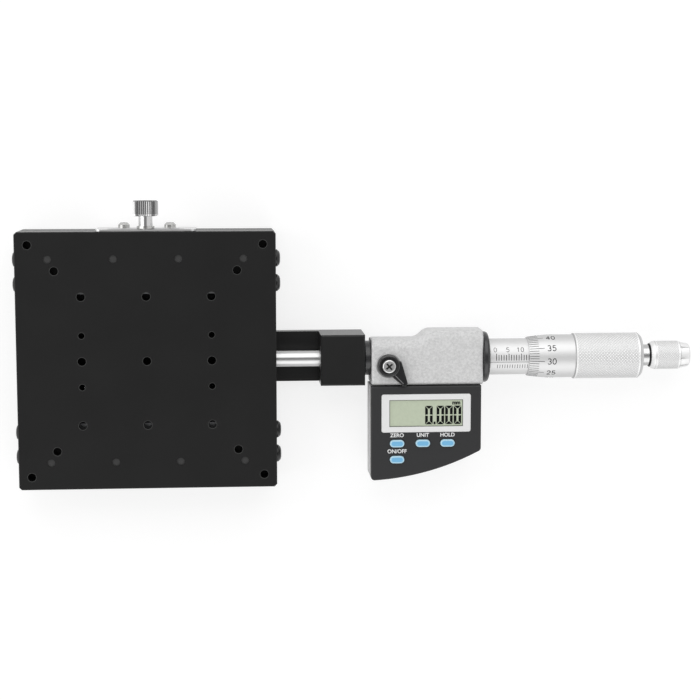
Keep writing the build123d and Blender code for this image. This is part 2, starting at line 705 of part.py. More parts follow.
# ---- Encoder, sleeve, spindle and thimble ------------------------------------
def encoder_disc(x0, x1, outer, bore):
    """A flat ring on the drive line."""
    return rod_x(x0, x1, outer) - rod_x(x0 - 1, x1 + 1, bore)


def sleeve_ring():
    """The dark collar between the casting and the sleeve."""
    bore = SPIGOT_R + SEAT_FIT
    return turned([
        (RING_X0, bore), (RING_X0, RING_R - 0.5), (RING_X0 + 0.4, RING_R),
        (RING_X1 - 1.1, RING_R), (RING_X1 - 0.35, RING_R - 0.4), (RING_X1, RING_R - 1.3), (RING_X1, bore),
    ])


def sleeve():
    """The graduated barrel, with a spigot in the casting."""
    bore = SLEEVE_BORE_R
    return turned([
        (SPIGOT_X, bore), (SPIGOT_X, SPIGOT_R), (RING_X1, SPIGOT_R), (RING_X1, SLEEVE_R),
        (SLEEVE_END_X - 0.5, SLEEVE_R), (SLEEVE_END_X, SLEEVE_R - 0.4), (SLEEVE_END_X, bore),
    ])


def spindle_nut():
    """The threaded bush in the sleeve's end that the spindle turns in."""
    bore = SPINDLE_R + RUNNING_FIT
    outer = SLEEVE_BORE_R - SEAT_FIT
    flange_r = SLEEVE_R - 0.6
    flange_x = SLEEVE_END_X + 0.2
    end = SLEEVE_END_X + 1.6
    return turned([
        (NUT_X0, bore), (NUT_X0, outer), (flange_x, outer), (flange_x, flange_r),
        (end, flange_r), (end, bore),
    ])


def spindle():
    """The ground spindle from the contact pad to the thimble's end."""
    end = THIMBLE_END_X - 4
    return turned([
        (SPINDLE_TIP_X, 0), (SPINDLE_TIP_X, SPINDLE_R - 0.4), (SPINDLE_TIP_X + 0.4, SPINDLE_R),
        (end, SPINDLE_R), (end, 0),
    ])


def thimble():
    """The thimble: bevelled reading edge, plain barrel and raised grip."""
    bore = SLEEVE_R + THIMBLE_FIT
    seat = SPINDLE_R + SEAT_FIT
    spigot = NECK_SPIGOT_R + SEAT_FIT
    return turned([
        (EDGE_X, bore), (EDGE_X, EDGE_R), (CONE_X, CONE_R), (BARREL_X, BARREL_R),
        (KNURL_X, BARREL_R), (KNURL_X + 0.3, KNURL_R), (THIMBLE_END_X - 1.1, KNURL_R),
        (THIMBLE_END_X, KNURL_R - 1.1), (THIMBLE_END_X, spigot),
        (THIMBLE_END_X - 4, spigot), (THIMBLE_END_X - 4, seat),
        (THIMBLE_WALL_X, seat), (THIMBLE_WALL_X, bore),
    ])


def ratchet_stem():
    """The neck screwed into the thimble, with the pin that carries the knob."""
    start = THIMBLE_END_X + 0.05
    neck_end = RATCHET_X - RATCHET_GAP
    return turned([
        (THIMBLE_END_X - 3.9, 0), (THIMBLE_END_X - 3.9, NECK_SPIGOT_R), (start, NECK_SPIGOT_R),
        (start, NECK_R), (neck_end, NECK_R), (neck_end, PIN_R), (PIN_END_X, PIN_R), (PIN_END_X, 0),
    ])


def ratchet_knob():
    """The small knob: a flared neck, a grip and a tapered end with eight slots."""
    bore = PIN_R + RUNNING_FIT
    grip_start, grip_end = KNOB_GRIP_X
    body = turned([
        (RATCHET_X, bore), (RATCHET_X, NECK_R), (RATCHET_X + 1, KNOB_R - 0.5), (grip_start, KNOB_R),
        (grip_end, KNOB_R), (grip_end + 0.2, KNOB_R - 0.3), (KNOB_END_X - 0.5, KNOB_R - 0.95),
        (KNOB_END_X, KNOB_R - 1.5), (KNOB_END_X, 0), (PIN_END_X + 0.5, 0),
        (PIN_END_X + 0.5, SPRING_POCKET_R), (PIN_END_X - 6.5, SPRING_POCKET_R), (PIN_END_X - 6.5, bore),
    ])
    slot = block(
        grip_end + 0.2, KNOB_END_X + 1, -KNOB_SLOT_W / 2, KNOB_SLOT_W / 2, KNOB_R - 1.35, KNOB_R + 1,
    )
    for turn in range(KNOB_SLOTS):
        angle = KNOB_SLOT_TURN + 360 / KNOB_SLOTS * turn
        body -= Pos(0, DRIVE_Y, DRIVE_Z) * Rot(angle, 0, 0) * slot
    return body


def ratchet_spring():
    """The small spring in the knob that loads the ratchet, as the sleeve its closed coils fill."""
    x = PIN_END_X - 5.9
    return rod_x(x, x + 5, 2.9) - rod_x(x - 1, x + 6, 2.3)


# ---- Lever, lock and buttons -------------------------------------------------
def lever_collar():
    """The round seat under the lever, screwed into the casting."""
    ring = rod_z(BODY_FRONT_Z + 0.02, LEVER_Z - 0.05, COLLAR_R, *LEVER_XY)
    ring = chamfer(ring.faces().sort_by(Axis.Z)[-1].edges(), 0.25)
    return ring - rod_z(BODY_FRONT_Z - 1, LEVER_Z + 1, LEVER_SCREW_R + RUNNING_FIT, *LEVER_XY)


def lock_lever():
    """The spindle clamp's lever: a dished hub, and an arm that tapers from a wide heel."""
    hub = Cylinder(LEVER_HUB_R, LEVER_T, align=UP)
    hub = fillet(hub.faces().sort_by(Axis.Z)[-1].edges(), 0.5)
    heel = Pos(2.0, 3.8) * Circle(0.9)
    tip = Pos(LEVER_L - LEVER_TIP_R, 0) * Circle(LEVER_TIP_R)
    root = Pos(0, -0.6) * Circle(1.9)
    low_z, high_z = LEVER_ARM_Z
    arm = Pos(0, 0, low_z) * extrude(make_hull((root + heel + tip).edges()), amount=high_z - low_z)
    arm = chamfer(arm.faces().sort_by(Axis.Z)[-1].edges(), 0.35)
    lever = hub + arm
    lever -= Pos(0, 0, LEVER_T - 0.5) * Cone(LEVER_HEAD_R + 0.4, LEVER_HEAD_R + 1.1, 0.6, align=UP)
    lever -= Pos(0, 0, -1) * Cylinder(LEVER_SCREW_R + SEAT_FIT, 5, align=UP)
    return Pos(*LEVER_XY, LEVER_Z) * Rot(0, 0, LEVER_ANGLE) * lever


def lever_screw():
    """The cross-recessed screw that carries the lever."""
    seat_z = LEVER_Z + LEVER_T - 0.5
    length = seat_z - (DRIVE_Z + SPINDLE_R + 0.6)
    screw = cross_screw(LEVER_SCREW_R, LEVER_HEAD_R, 1.3, length, fillet)
    return Pos(*LEVER_XY, seat_z) * Rot(0, 0, 40) * screw


def lock_washer():
    """The loose washer under the thumb screw."""
    y0 = HALF + LOCK_T + LOCK_GAP
    ring = rod_y(y0, y0 + WASHER_T, WASHER_R, 0, THUMB_Z)
    return ring - rod_y(y0 - 1, y0 + 2, THUMB_R + 0.06, 0, THUMB_Z)


def thumb_screw():
    """The table lock's screw, with a straight-knurled head."""
    points = []
    for i in range(2 * GRIP_TEETH):
        angle = math.pi * i / GRIP_TEETH
        radius = GRIP_R if i % 2 == 0 else GRIP_R - TOOTH_DEPTH
        points.append((radius * math.cos(angle), radius * math.sin(angle)))
    grip = extrude(make_face(Polyline(points, close=True)), amount=THUMB_END_Y - GRIP_Y)
    limit = Cylinder(GRIP_R + 0.1, THUMB_END_Y - GRIP_Y, align=UP)
    limit = chamfer(limit.edges().filter_by(GeomType.CIRCLE), 0.5)
    head = Pos(0, GRIP_Y, THUMB_Z) * Rot(-90, 0, 0) * (grip & limit)
    neck = rod_y(NECK_Y, GRIP_Y + 0.5, 2.7, 0, THUMB_Z)
    shank = rod_y(THUMB_TIP_Y, NECK_Y + 0.5, THUMB_R, 0, THUMB_Z)
    dimple = Pos(0, THUMB_END_Y, THUMB_Z) * Rot(-90, 0, 0) * Cone(0.2, 1.6, 0.5)
    return head + neck + shank - dimple


# ---- Table -------------------------------------------------------------------
def table_plate():
    """The table: a plate with skirts, tapped on a plain hole pattern."""
    half = [
        (HALF, TOP_Z), (HALF, SKIRT_Z), (SKIRT_Y, SKIRT_Z), (SKIRT_Y, RAIL_Z + RAIL_H),
        (TRACK_Y + RAIL_STEP, RAIL_Z + RAIL_H), (TRACK_Y + RAIL_STEP, UNDER_Z),
    ]
    plate = section(mirrored(half), -HALF, HALF)
    corners = [e for e in plate.edges().filter_by(Axis.Z) if abs(abs(e.center().Y) - HALF) < 0.1]
    plate = chamfer(corners, CORNER)
    plate = chamfer(plate.faces().sort_by(Axis.Z)[-1].edges(), 0.3)
    for reach, depth in ((MOUNT_XY, CORNER_HOLE_DEPTH), (DIAGONAL_XY, DIAGONAL_HOLE_DEPTH)):
        for x in (-reach, reach):
            for y in (-reach, reach):
                plate -= rod_z(TOP_Z - depth, TOP_Z + 1, M4_TAP_R, x, y)
    for x in GRID:
        for y in GRID:
            plate -= rod_z(UNDER_Z - 1, TOP_Z + 1, M4_TAP_R, x, y)
    for x in (-SMALL_HOLE_X, SMALL_HOLE_X):
        for y in (-SMALL_HOLE_Y, SMALL_HOLE_Y):
            plate -= rod_z(UNDER_Z - 1, TOP_Z + 1, M3_TAP_R, x, y)
    for x in RAIL_HOLE_X:
        for y in (-table_hole_y(), table_hole_y()):
            plate -= rod_z(UNDER_Z - 2, TOP_Z + 1, M3[0] + SEAT_FIT, x, y)
    plate -= rod_y(THUMB_TIP_Y - 1, HALF + 1, THUMB_R + RUNNING_FIT, 0, THUMB_Z)
    for y in (-SPRING_Y, SPRING_Y):
        plate -= rod_z(UNDER_Z - 1, UNDER_Z + POST_SINK, POST_R + SEAT_FIT, TABLE_POST_X, y)
    for y in contact_screw_places():
        plate -= rod_z(UNDER_Z - 1, UNDER_Z + 5, M3[0] + SEAT_FIT, CONTACT_X, y)
    return plate


def contact_screw_places():
    """The two screws of the contact block, either side of the spindle."""
    return (DRIVE_Y - CONTACT_SCREW_DY, DRIVE_Y + CONTACT_SCREW_DY)


def contact_block():
    """The block under the table that takes the spindle's push."""
    x1 = CONTACT_X + CONTACT_L / 2
    solid = block(x1 - CONTACT_L, x1, DRIVE_Y - CONTACT_W / 2, DRIVE_Y + CONTACT_W / 2, CONTACT_Z, UNDER_Z)
    solid = chamfer(solid.faces().sort_by(Axis.Z)[0].edges(), 0.5)
    solid -= rod_x(x1 - 5, x1 + 1, PAD_R + SEAT_FIT)
    for y in contact_screw_places():
        solid -= rod_z(CONTACT_Z - 1, UNDER_Z + 1, M3[0] + SCREW_FIT, CONTACT_X, y)
        solid -= rod_z(CONTACT_Z - 1, CONTACT_Z + HEAD_SINK, M3[1] + SCREW_FIT, CONTACT_X, y)
    return solid


def contact_pad():
    """The hardened pad, domed towards the spindle."""
    x1 = CONTACT_X + CONTACT_L / 2
    tip = SPINDLE_TIP_X - 0.02
    return turned([
        (x1 - 4.9, 0), (x1 - 4.9, PAD_R), (x1 + 0.2, PAD_R), (tip, PAD_R - 0.9), (tip, 0),
    ])


def contact_screws():
    """Two cap screws that hold the contact block from below."""
    screw = Rot(180, 0, 0) * socket_screw(M3, UNDER_Z - CONTACT_Z - HEAD_SINK + 4.5)
    return [Pos(CONTACT_X, y, CONTACT_Z + HEAD_SINK) * screw for y in contact_screw_places()]


# ---- Rollers, cages and springs ----------------------------------------------
def roller_places():
    """The rollers' places along X."""
    first = -ROLLER_PITCH * (ROLLER_COUNT - 1) / 2
    return [first + ROLLER_PITCH * i for i in range(ROLLER_COUNT)]


def rollers(y):
    """One guide's rollers, each turned a quarter against the next."""
    roller = Cylinder(ROLLER_D / 2, ROLLER_L, align=MID)
    turns = [45 if i % 2 == 0 else -45 for i in range(ROLLER_COUNT)]
    return [Pos(x, y, RAIL_MID_Z) * Rot(turn, 0, 0) * roller for x, turn in zip(roller_places(), turns)]


def cage(y):
    """The thin strip that spaces one guide's rollers."""
    strip = Pos(0, y, RAIL_MID_Z) * Box(CAGE_L, CAGE_T, CAGE_H, align=MID)
    for x in roller_places():
        strip -= rod_y(y - 1, y + 1, CAGE_HOLE_R, x, RAIL_MID_Z)
    return strip


def extension_spring(y):
    """A close-wound coil, as the tube that it fills, with an eye over each post."""
    x0 = TABLE_POST_X + EYE_R + 2.2
    x1 = BASE_POST_X - EYE_R - 2.2
    spring = rod_x(x0, x1, SPRING_R, y, SPRING_Z) - rod_x(x0 - 1, x1 + 1, SPRING_R - SPRING_WIRE, y, SPRING_Z)
    low_z = SPRING_Z - SPRING_WIRE / 2
    high_z = SPRING_Z + SPRING_WIRE / 2
    for post_x, end_x, sign in ((TABLE_POST_X, x0, 1), (BASE_POST_X, x1, -1)):
        outer = rod_z(low_z, high_z, EYE_R + SPRING_WIRE / 2, post_x, y)
        inner = rod_z(low_z - 1, high_z + 1, EYE_R - SPRING_WIRE / 2, post_x, y)
        ends = sorted((post_x + sign * EYE_R, end_x + sign * 0.3))
        reach = block(*ends, y - SPRING_R + 0.1, y + SPRING_R - 0.1, low_z, high_z)
        spring = spring + (outer - inner) + reach
    return spring


# ---- The whole stage ---------------------------------------------------------
def build():
    """Makes every piece and files it under its name."""
    keep("base_plate", base_plate())
    keep("table_plate", table_plate())
    for name, sign in (("near", -1), ("far", 1)):
        base_back = sign * RIB_Y
        table_back = sign * SKIRT_Y
        keep(f"base_rail_{name}", rail(base_back, sign, False))
        keep(f"table_rail_{name}", rail(table_back, -sign, True))
        keep(f"roller_cage_{name}", cage(sign * TRACK_Y))
        keep(f"rollers_{name}", *rollers(sign * TRACK_Y))
        keep(f"spring_{name}", extension_spring(sign * SPRING_Y))
    keep("base_rail_screws", *[s for sign in (-1, 1) for s in rail_screws(sign * base_hole_y(), False)])
    keep("table_rail_screws", *[s for sign in (-1, 1) for s in rail_screws(sign * table_hole_y(), True)])
    keep("base_end_screws", *[s for sign in (-1, 1) for s in end_screws(sign * RIB_Y, sign)])
    keep("table_end_screws", *[s for sign in (-1, 1) for s in end_screws(sign * SKIRT_Y, -sign)])
    keep("base_spring_posts", *spring_posts(BASE_POST_X, POST_FOOT_Z + 0.1, SPRING_Z + POST_TIP, SPRING_Z))
    keep("table_spring_posts", *spring_posts(TABLE_POST_X, SPRING_Z - POST_TIP, UNDER_Z + POST_SINK - 0.1, SPRING_Z))
    keep("lock_plate", lock_plate())
    keep("lock_plate_screws", *lock_plate_screws())
    keep("lock_washer", lock_washer())
    keep("thumb_screw", thumb_screw())
    keep("micrometer_bracket", bracket())
    keep("bracket_screws", *bracket_screws())
    keep("stem_clamp_screw", clamp_screw())
    keep("stem", stem())
    keep("stem_nut", stem_nut())
    keep("micrometer_body", micrometer_body())
    keep("display_cover", display_cover())
    keep("display_bezel", display_bezel())
    keep("lcd_panel", lcd_panel())
    keep("display_connector", display_connector())
    keep("circuit_board", circuit_board())
    keep("button_pad", button_pad())
    keep("battery", battery())
    keep("battery_contact", battery_contact())
    keep("battery_cap", battery_cap())
    keep("cover_screws", *cover_screws())
    for name, place in BUTTONS.items():
        keep(name, button(*place))
    keep("encoder_stator", encoder_disc(*STATOR_X, ENCODER_R - SEAT_FIT, SPINDLE_R + 0.2))
    keep("encoder_rotor", encoder_disc(*ROTOR_X, ENCODER_R - 0.4, SPINDLE_R + RUNNING_FIT))
    keep("sleeve_ring", sleeve_ring())
    keep("sleeve", sleeve())
    keep("spindle_nut", spindle_nut())
    keep("spindle", spindle())
    keep("thimble", thimble())
    keep("ratchet_stem", ratchet_stem())
    keep("ratchet_knob", ratchet_knob())
    keep("ratchet_spring", ratchet_spring())
    keep("lever_collar", lever_collar())
    keep("lock_lever", lock_lever())
    keep("lever_screw", lever_screw())
    keep("contact_block", contact_block())
    keep("contact_pad", contact_pad())
    keep("contact_screws", *contact_screws())


build()
os.makedirs("parts", exist_ok=True)
for part_name, solid in PARTS.items():
    export_step(solid, f"parts/{part_name}.step")
print(len(PARTS), "nodes written")
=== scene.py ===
# %% [markdown]
# # A linear stage with a digital micrometer
# The object is a flat steel-and-aluminium table that a micrometer head moves by hundredths of a
# millimetre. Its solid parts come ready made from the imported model. This lesson dresses them:
# it gives each metal and plastic its own finish, cuts the knurls, winds the springs, engraves
# the scales and prints the display. Everything is in metres, with X along the travel, Y across
# it towards the table lock and Z up.

# %% Load the fixed frame
import bmesh
import bpy
import json
import math
import numpy as np
from mathutils import Matrix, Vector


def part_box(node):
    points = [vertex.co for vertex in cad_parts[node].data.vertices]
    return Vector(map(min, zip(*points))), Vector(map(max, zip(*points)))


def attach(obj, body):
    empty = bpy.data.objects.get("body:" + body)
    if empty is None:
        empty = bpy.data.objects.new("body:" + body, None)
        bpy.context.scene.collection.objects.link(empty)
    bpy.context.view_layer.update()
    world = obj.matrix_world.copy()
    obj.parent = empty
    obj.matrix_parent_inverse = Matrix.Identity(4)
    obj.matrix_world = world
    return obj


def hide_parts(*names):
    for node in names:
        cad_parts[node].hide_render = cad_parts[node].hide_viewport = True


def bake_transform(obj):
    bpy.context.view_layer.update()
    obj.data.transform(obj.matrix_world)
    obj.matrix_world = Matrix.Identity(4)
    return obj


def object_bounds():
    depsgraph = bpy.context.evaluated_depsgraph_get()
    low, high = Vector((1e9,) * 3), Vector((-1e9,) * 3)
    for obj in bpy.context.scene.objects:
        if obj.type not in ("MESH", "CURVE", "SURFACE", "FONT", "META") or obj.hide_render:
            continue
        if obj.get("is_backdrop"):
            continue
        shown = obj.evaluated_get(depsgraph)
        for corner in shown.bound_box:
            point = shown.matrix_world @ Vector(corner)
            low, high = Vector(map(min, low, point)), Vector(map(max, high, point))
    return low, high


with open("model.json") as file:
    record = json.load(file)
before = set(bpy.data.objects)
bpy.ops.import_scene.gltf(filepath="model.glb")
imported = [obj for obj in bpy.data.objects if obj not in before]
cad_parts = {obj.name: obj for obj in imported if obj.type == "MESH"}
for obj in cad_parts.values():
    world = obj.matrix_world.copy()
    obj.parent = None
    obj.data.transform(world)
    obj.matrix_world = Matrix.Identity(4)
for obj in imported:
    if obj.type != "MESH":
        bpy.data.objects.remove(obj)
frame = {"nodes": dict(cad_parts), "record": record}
nodes = frame["nodes"]
cad_low, cad_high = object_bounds()
MM = 0.001                      # one millimetre in metres


def box_mm(node):
    """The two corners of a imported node's box, in millimetres."""
    return [np.array(corner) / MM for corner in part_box(node)]


print("nodes:", len(nodes), "box:", [round(v / MM, 1) for v in (*cad_low, *cad_high)])

# %% [markdown]
# ## The camera
# A long lens far away keeps the square table almost square, yet it still shows a sliver of the
# far side. A turn is written as a rotation vector: its direction is the axis, its length the
# angle. The camera's own axes are the columns of the turned matrix.

# %% Place the camera
def turn_from_vector(vector):
    """The matrix of a rotation vector: I + sin(a) K + (1 - cos(a)) K K.

    Here a is the vector's length and K is the matrix of the cross product with its direction.
    """
    angle = np.linalg.norm(vector)
    x, y, z = np.asarray(vector) / angle
    cross = np.array([[0, -z, y], [z, 0, -x], [-y, x, 0]])
    return np.eye(3) + math.sin(angle) * cross + (1 - math.cos(angle)) * cross @ cross


PICTURE = 700                   # the picture is square, this many pixels a side
FOCAL = 1727.22                 # focal length in those pixels
SENSOR = 36                     # mm on the sensor that the picture's width takes
TABLE_TOP = 25.0                # mm, the height of the table's upper face
CAMERA_TURN = (0.11687, 0.0724, 0.00557)        # from the object's axes to the camera's
TABLE_SEEN = (-78.42, -4.317, -667.343)         # mm, the upper face's middle on those axes

to_camera = turn_from_vector(CAMERA_TURN)
eye = -to_camera.T @ np.array(TABLE_SEEN) + (0, 0, TABLE_TOP)

camera_data = bpy.data.cameras.new("camera")
camera_data.sensor_width = SENSOR
camera_data.lens = FOCAL / PICTURE * SENSOR
camera = bpy.data.objects.new("camera", camera_data)
bpy.context.collection.objects.link(camera)
pose = np.eye(4)
pose[:3, :3] = to_camera.T
pose[:3, 3] = eye * MM
camera.matrix_world = Matrix(pose.tolist())
bpy.context.scene.camera = camera
bpy.context.scene.view_settings.view_transform = "Standard"
print("camera at", [round(float(v)) for v in eye], "mm, lens", round(camera_data.lens, 1), "mm")

# %% [markdown]
# ## Shader maths as plain Python
# A material is a graph of small nodes. Wiring each one by hand hides the idea, so one class
# wraps an output socket and lets `+ - *` and comparisons add the Math nodes. A second class
# holds a node tree and has a single method that makes any other kind of node. A third is a
# material, with the few nodes that most finishes share.

# %% A socket that can be calculated with
class Wire:
    """One output socket. Arithmetic on it adds Math nodes to the same tree."""

    def __init__(self, graph, socket):
        self.graph = graph
        self.socket = socket

    def maths(self, operation, first, second=0.0):
        """The result of one Math node, named as Blender names its operations."""
        return self.graph.node("ShaderNodeMath", {"operation": operation}, {0: first, 1: second})

    def __add__(self, other): return self.maths("ADD", self, other)
    def __radd__(self, other): return self.maths("ADD", other, self)
    def __sub__(self, other): return self.maths("SUBTRACT", self, other)
    def __rsub__(self, other): return self.maths("SUBTRACT", other, self)
    def __mul__(self, other): return self.maths("MULTIPLY", self, other)
    def __rmul__(self, other): return self.maths("MULTIPLY", other, self)
    def __gt__(self, other): return self.maths("GREATER_THAN", self, other)
    def __lt__(self, other): return self.maths("LESS_THAN", self, other)
    def root(self): return self.maths("SQRT", self)
    def size(self): return self.maths("ABSOLUTE", self)
    def most(self, other): return self.maths("MAXIMUM", self, other)

# %% A node tree and a material that make their own nodes
class Graph:
    """A node tree with one way to make any node."""

    def __init__(self, tree):
        self.tree = tree

    def node(self, kind, settings=None, inputs=None, output=0):
        """Makes a node: first its settings, then its sockets, from plain values or wires."""
        made = self.tree.nodes.new(kind)
        for key, value in (settings or {}).items():
            setattr(made, key, value)
        for key, value in (inputs or {}).items():
            self.feed(made.inputs[key], value)
        return Wire(self, made.outputs[output])

    def feed(self, socket, value):
        """Links a wire to a socket, or sets a plain value on it."""
        if isinstance(value, Wire):
            self.tree.links.new(value.socket, socket)
        else:
            socket.default_value = value


finishes = {}                   # every material made below, by its name


class Finish(Graph):
    """A material with a Principled shader, kept in the list of finishes."""

    def __init__(self, name):
        self.material = bpy.data.materials.new(name)
        self.material.use_nodes = True
        super().__init__(self.material.node_tree)
        self.shader = self.tree.nodes["Principled BSDF"]
        self.output = self.tree.nodes["Material Output"]
        finishes[name] = self.material

    def set(self, **sockets):
        """Sets or links the shader's own sockets. An underscore stands for a space."""
        for key, value in sockets.items():
            self.feed(self.shader.inputs[key.replace("_", " ")], value)

    def place(self, stretch=(1, 1, 1)):
        """Object coordinates in millimetres, each times its own stretch."""
        spot = self.node("ShaderNodeTexCoord", output="Object")
        sockets = {"Vector": spot, "Scale": tuple(s / MM for s in stretch)}
        return self.node("ShaderNodeMapping", {"vector_type": "POINT"}, sockets)

    def axes(self):
        """The three object coordinates in millimetres, each a wire of its own."""
        spot = self.place()
        return [self.node("ShaderNodeSeparateXYZ", {}, {0: spot}, output=axis) for axis in "XYZ"]

    def noise(self, grain, detail=2.0, stretch=(1, 1, 1)):
        """Smooth noise from 0 to 1 whose features are about one over grain millimetres."""
        sockets = {"Vector": self.place(stretch), "Scale": grain, "Detail": detail}
        return self.node("ShaderNodeTexNoise", {}, sockets)

    def spread(self, value, low, high):
        """Stretches the values from low to high over the whole of 0 to 1, and clamps the rest."""
        return self.node("ShaderNodeMapRange", {}, {0: value, 1: low, 2: high})

    def mix(self, factor, first, second):
        """A colour between two colours."""
        return self.node(
            "ShaderNodeMix", {"data_type": "RGBA"},
            {0: factor, 6: colour4(first), 7: colour4(second)}, output=2,
        )

    def bump(self, height, distance):
        """A normal tilted by a height map whose full range is the distance in metres."""
        sockets = {"Height": height, "Distance": distance, "Strength": 1.0}
        return self.node("ShaderNodeBump", {}, sockets)


def colour4(value):
    """A colour with its alpha, from a wire, a grey or three numbers."""
    if isinstance(value, Wire):
        return value
    if isinstance(value, (int, float)):
        value = (value,) * 3
    return (*value, 1.0)


def grey(level):
    """The linear value of a display grey from 0 to 255: ((v + 0.055) / 1.055) to the 2.4."""
    v = level / 255
    return v / 12.92 if v <= 0.04045 else ((v + 0.055) / 1.055) ** 2.4


def rgb(red, green, blue):
    """A linear colour from three display levels."""
    return tuple(grey(level) for level in (red, green, blue))


def length_of(first, second):
    """The length of a step made of two parts at right angles."""
    return (first * first + second * second).root()


print("mid grey 128 is linear", round(grey(128), 3))

# %% [markdown]
# ## The finishes
# Anodised aluminium is black dye under a clear skin: a very dark base with a soft sheen, a
# little uneven. Ground steel carries fine lines along the wheel's path, cast metal shows through
# its paint as pebbles of about a millimetre, and satin chrome is a bright metal blurred by its
# own fine matt. Each is a few nodes on the object's own coordinates. A finish takes its colour
# or level, its roughness, then the grain: how many features there are to a millimetre.

# %% Black anodised aluminium and its relatives
def anodised(name, level, roughness, specular=0.25):
    """A dark dyed skin with cloudy tone, a blasted grain and a soft sheen."""
    f = Finish(name)
    cloud = f.noise(0.05, 3.0)
    grain = f.noise(6.0, 2.0)
    tone = f.mix(cloud, grey(level) * 0.8, grey(level) * 1.25)
    f.set(Base_Color=tone, Roughness=roughness - 0.05 + 0.1 * grain, Specular_IOR_Level=specular)
    f.set(Normal=f.bump(grain, 0.00001))


anodised("black_anodised", 28, 0.33, 0.23)
anodised("black_bracket", 28, 0.30, 0.28)
anodised("black_screw", 26, 0.30, 0.4)
print("made", list(finishes))

# %% Bare metals
def metal(name, colour, roughness, grain=3.0, stretch=(1, 1, 1), distance=0.000004, spread=0.1):
    """A bare metal: one tone, a roughness that wanders with the grain, and a shallow relief."""
    f = Finish(name)
    marks = f.noise(grain, 3.0, stretch)
    tone = f.mix(marks, tuple(0.94 * c for c in colour), colour)
    f.set(Base_Color=tone, Metallic=1.0, Roughness=roughness - spread / 2 + spread * marks)
    f.set(Normal=f.bump(marks, distance))


metal("bearing_steel", (0.44, 0.45, 0.46), 0.32, 8.0, (0.05, 1, 1))
metal("brass_cage", (0.72, 0.53, 0.24), 0.35)
metal("bright_screw", (0.50, 0.50, 0.49), 0.24)
metal("spring_steel", (0.68, 0.68, 0.68), 0.30, 4.0, (0.08, 1, 1))
metal("polished_steel", (0.50, 0.50, 0.50), 0.26, 5.0, (0.1, 1, 1), 0.000001, 0.06)
metal("satin_chrome", (0.64, 0.64, 0.64), 0.58, 9.0, spread=0.06)
metal("cell", (0.70, 0.70, 0.68), 0.25)
metal("hard_pad", (0.38, 0.38, 0.40), 0.22)
metal("bronze", (0.62, 0.42, 0.24), 0.33)
metal("collar_metal", (0.42, 0.42, 0.42), 0.32, 6.0)
print("made", len(finishes), "finishes")

# %% Paint, plastics, glass and rubber
def plastic(name, colour, roughness, grain=8.0, distance=0.00001, specular=0.5):
    """A moulded or painted skin: an even colour broken slightly by a fine grain."""
    f = Finish(name)
    marks = f.noise(grain, 3.0)
    dark, light = (tuple(min(1.0, part * c) for c in colour) for part in (0.92, 1.06))
    f.set(Base_Color=f.mix(marks, dark, light), Roughness=roughness - 0.05 + 0.1 * marks)
    f.set(Specular_IOR_Level=specular, Normal=f.bump(marks, distance))


def cast_paint():
    """Paint over sand-cast metal: pebbles in tone and in relief, with finer specks on top."""
    f = Finish("cast_paint")
    pebbles = f.spread(f.noise(1.1, 2.0), 0.32, 0.68)
    specks = f.spread(f.noise(3.2, 1.0), 0.3, 0.7)
    height = 0.6 * pebbles + 0.4 * specks
    f.set(Base_Color=f.mix(height, grey(196), grey(228)), Roughness=0.46 + 0.1 * specks)
    f.set(Specular_IOR_Level=0.4, Normal=f.bump(height, 0.00005))


cast_paint()
plastic("cover_plastic", rgb(50, 50, 51), 0.42, 6.0, 0.000012, 0.25)
plastic("bezel_plastic", rgb(238, 238, 238), 0.35)
plastic("lcd_glass", rgb(196, 205, 183), 0.22, 1.0, 0.0, 0.15)
plastic("dark_ring", rgb(40, 40, 42), 0.25, 3.0, 0.000004, 0.5)
plastic("lever_black", rgb(20, 20, 22), 0.14, 3.0, 0.000004, 0.7)
# a painted highlight for the lever's ridge
plastic("ridge_highlight", rgb(128, 128, 128), 0.3, 6.0, 0.000004, 0.5)
plastic("screw_tip", rgb(58, 58, 58), 0.4, 3.0, 0.000008, 0.3)
plastic("silicone", rgb(120, 120, 120), 0.6)
plastic("board", rgb(22, 84, 52), 0.4)
print("made", len(finishes), "finishes")

# %% [markdown]
# ## Finishes that know their node
# Some nodes change tone from place to place. The painted highlight on a push button's rim and
# the painted shade in a screw head's recess follow from where a point lies in the node's own
# box, so these finishes read the box and belong to one node each.

# %% The push buttons' caps
CAP_SIZE = (5.7, 2.9)          # mm, the part of a button that stands out of the cover
# the lighter edge is a painted highlight on the cap's rounded rim
RIM = 0.7                      # mm, the lighter edge


def button_plastic(name, node):
    """A soft blue cap whose lighter rim is a painted highlight.

    The cap's ends are round, so the rim goes by the distance from a straight line inside it.
    """
    f = Finish(name)
    low, high = box_mm(node)
    middle, reach = (low + high) / 2, CAP_SIZE[1] / 2
    straight = CAP_SIZE[0] / 2 - reach
    x, y, _ = f.axes()
    beyond = (x - middle[0]).size() - straight
    beyond, across = beyond * (beyond > 0.0), y - middle[1]
    rim = f.spread(length_of(beyond, across), reach - RIM, reach - RIM / 2)
    marks = f.noise(2.0, 3.0)
    face = f.mix(marks, rgb(118, 184, 226), rgb(130, 194, 234))
    # painted highlight: the rim is mixed lighter than the face
    f.set(Base_Color=f.mix(rim, face, rgb(190, 226, 243)), Roughness=0.35 + 0.06 * marks)
    f.set(Specular_IOR_Level=0.35, Normal=f.bump(marks, 0.000005))


BUTTONS = ("zero_button", "unit_button", "hold_button", "power_button")
for button in BUTTONS:
    button_plastic(button + "_blue", button)
print("made caps for", len(BUTTONS), "buttons")

# %% A screw head with painted shade in its recess
RECESS_R, RECESS_DEPTH = 1.75, 0.7      # mm, the cross in the lever screw's head
SKIN = 0.03                             # mm below the flat top where the recess starts


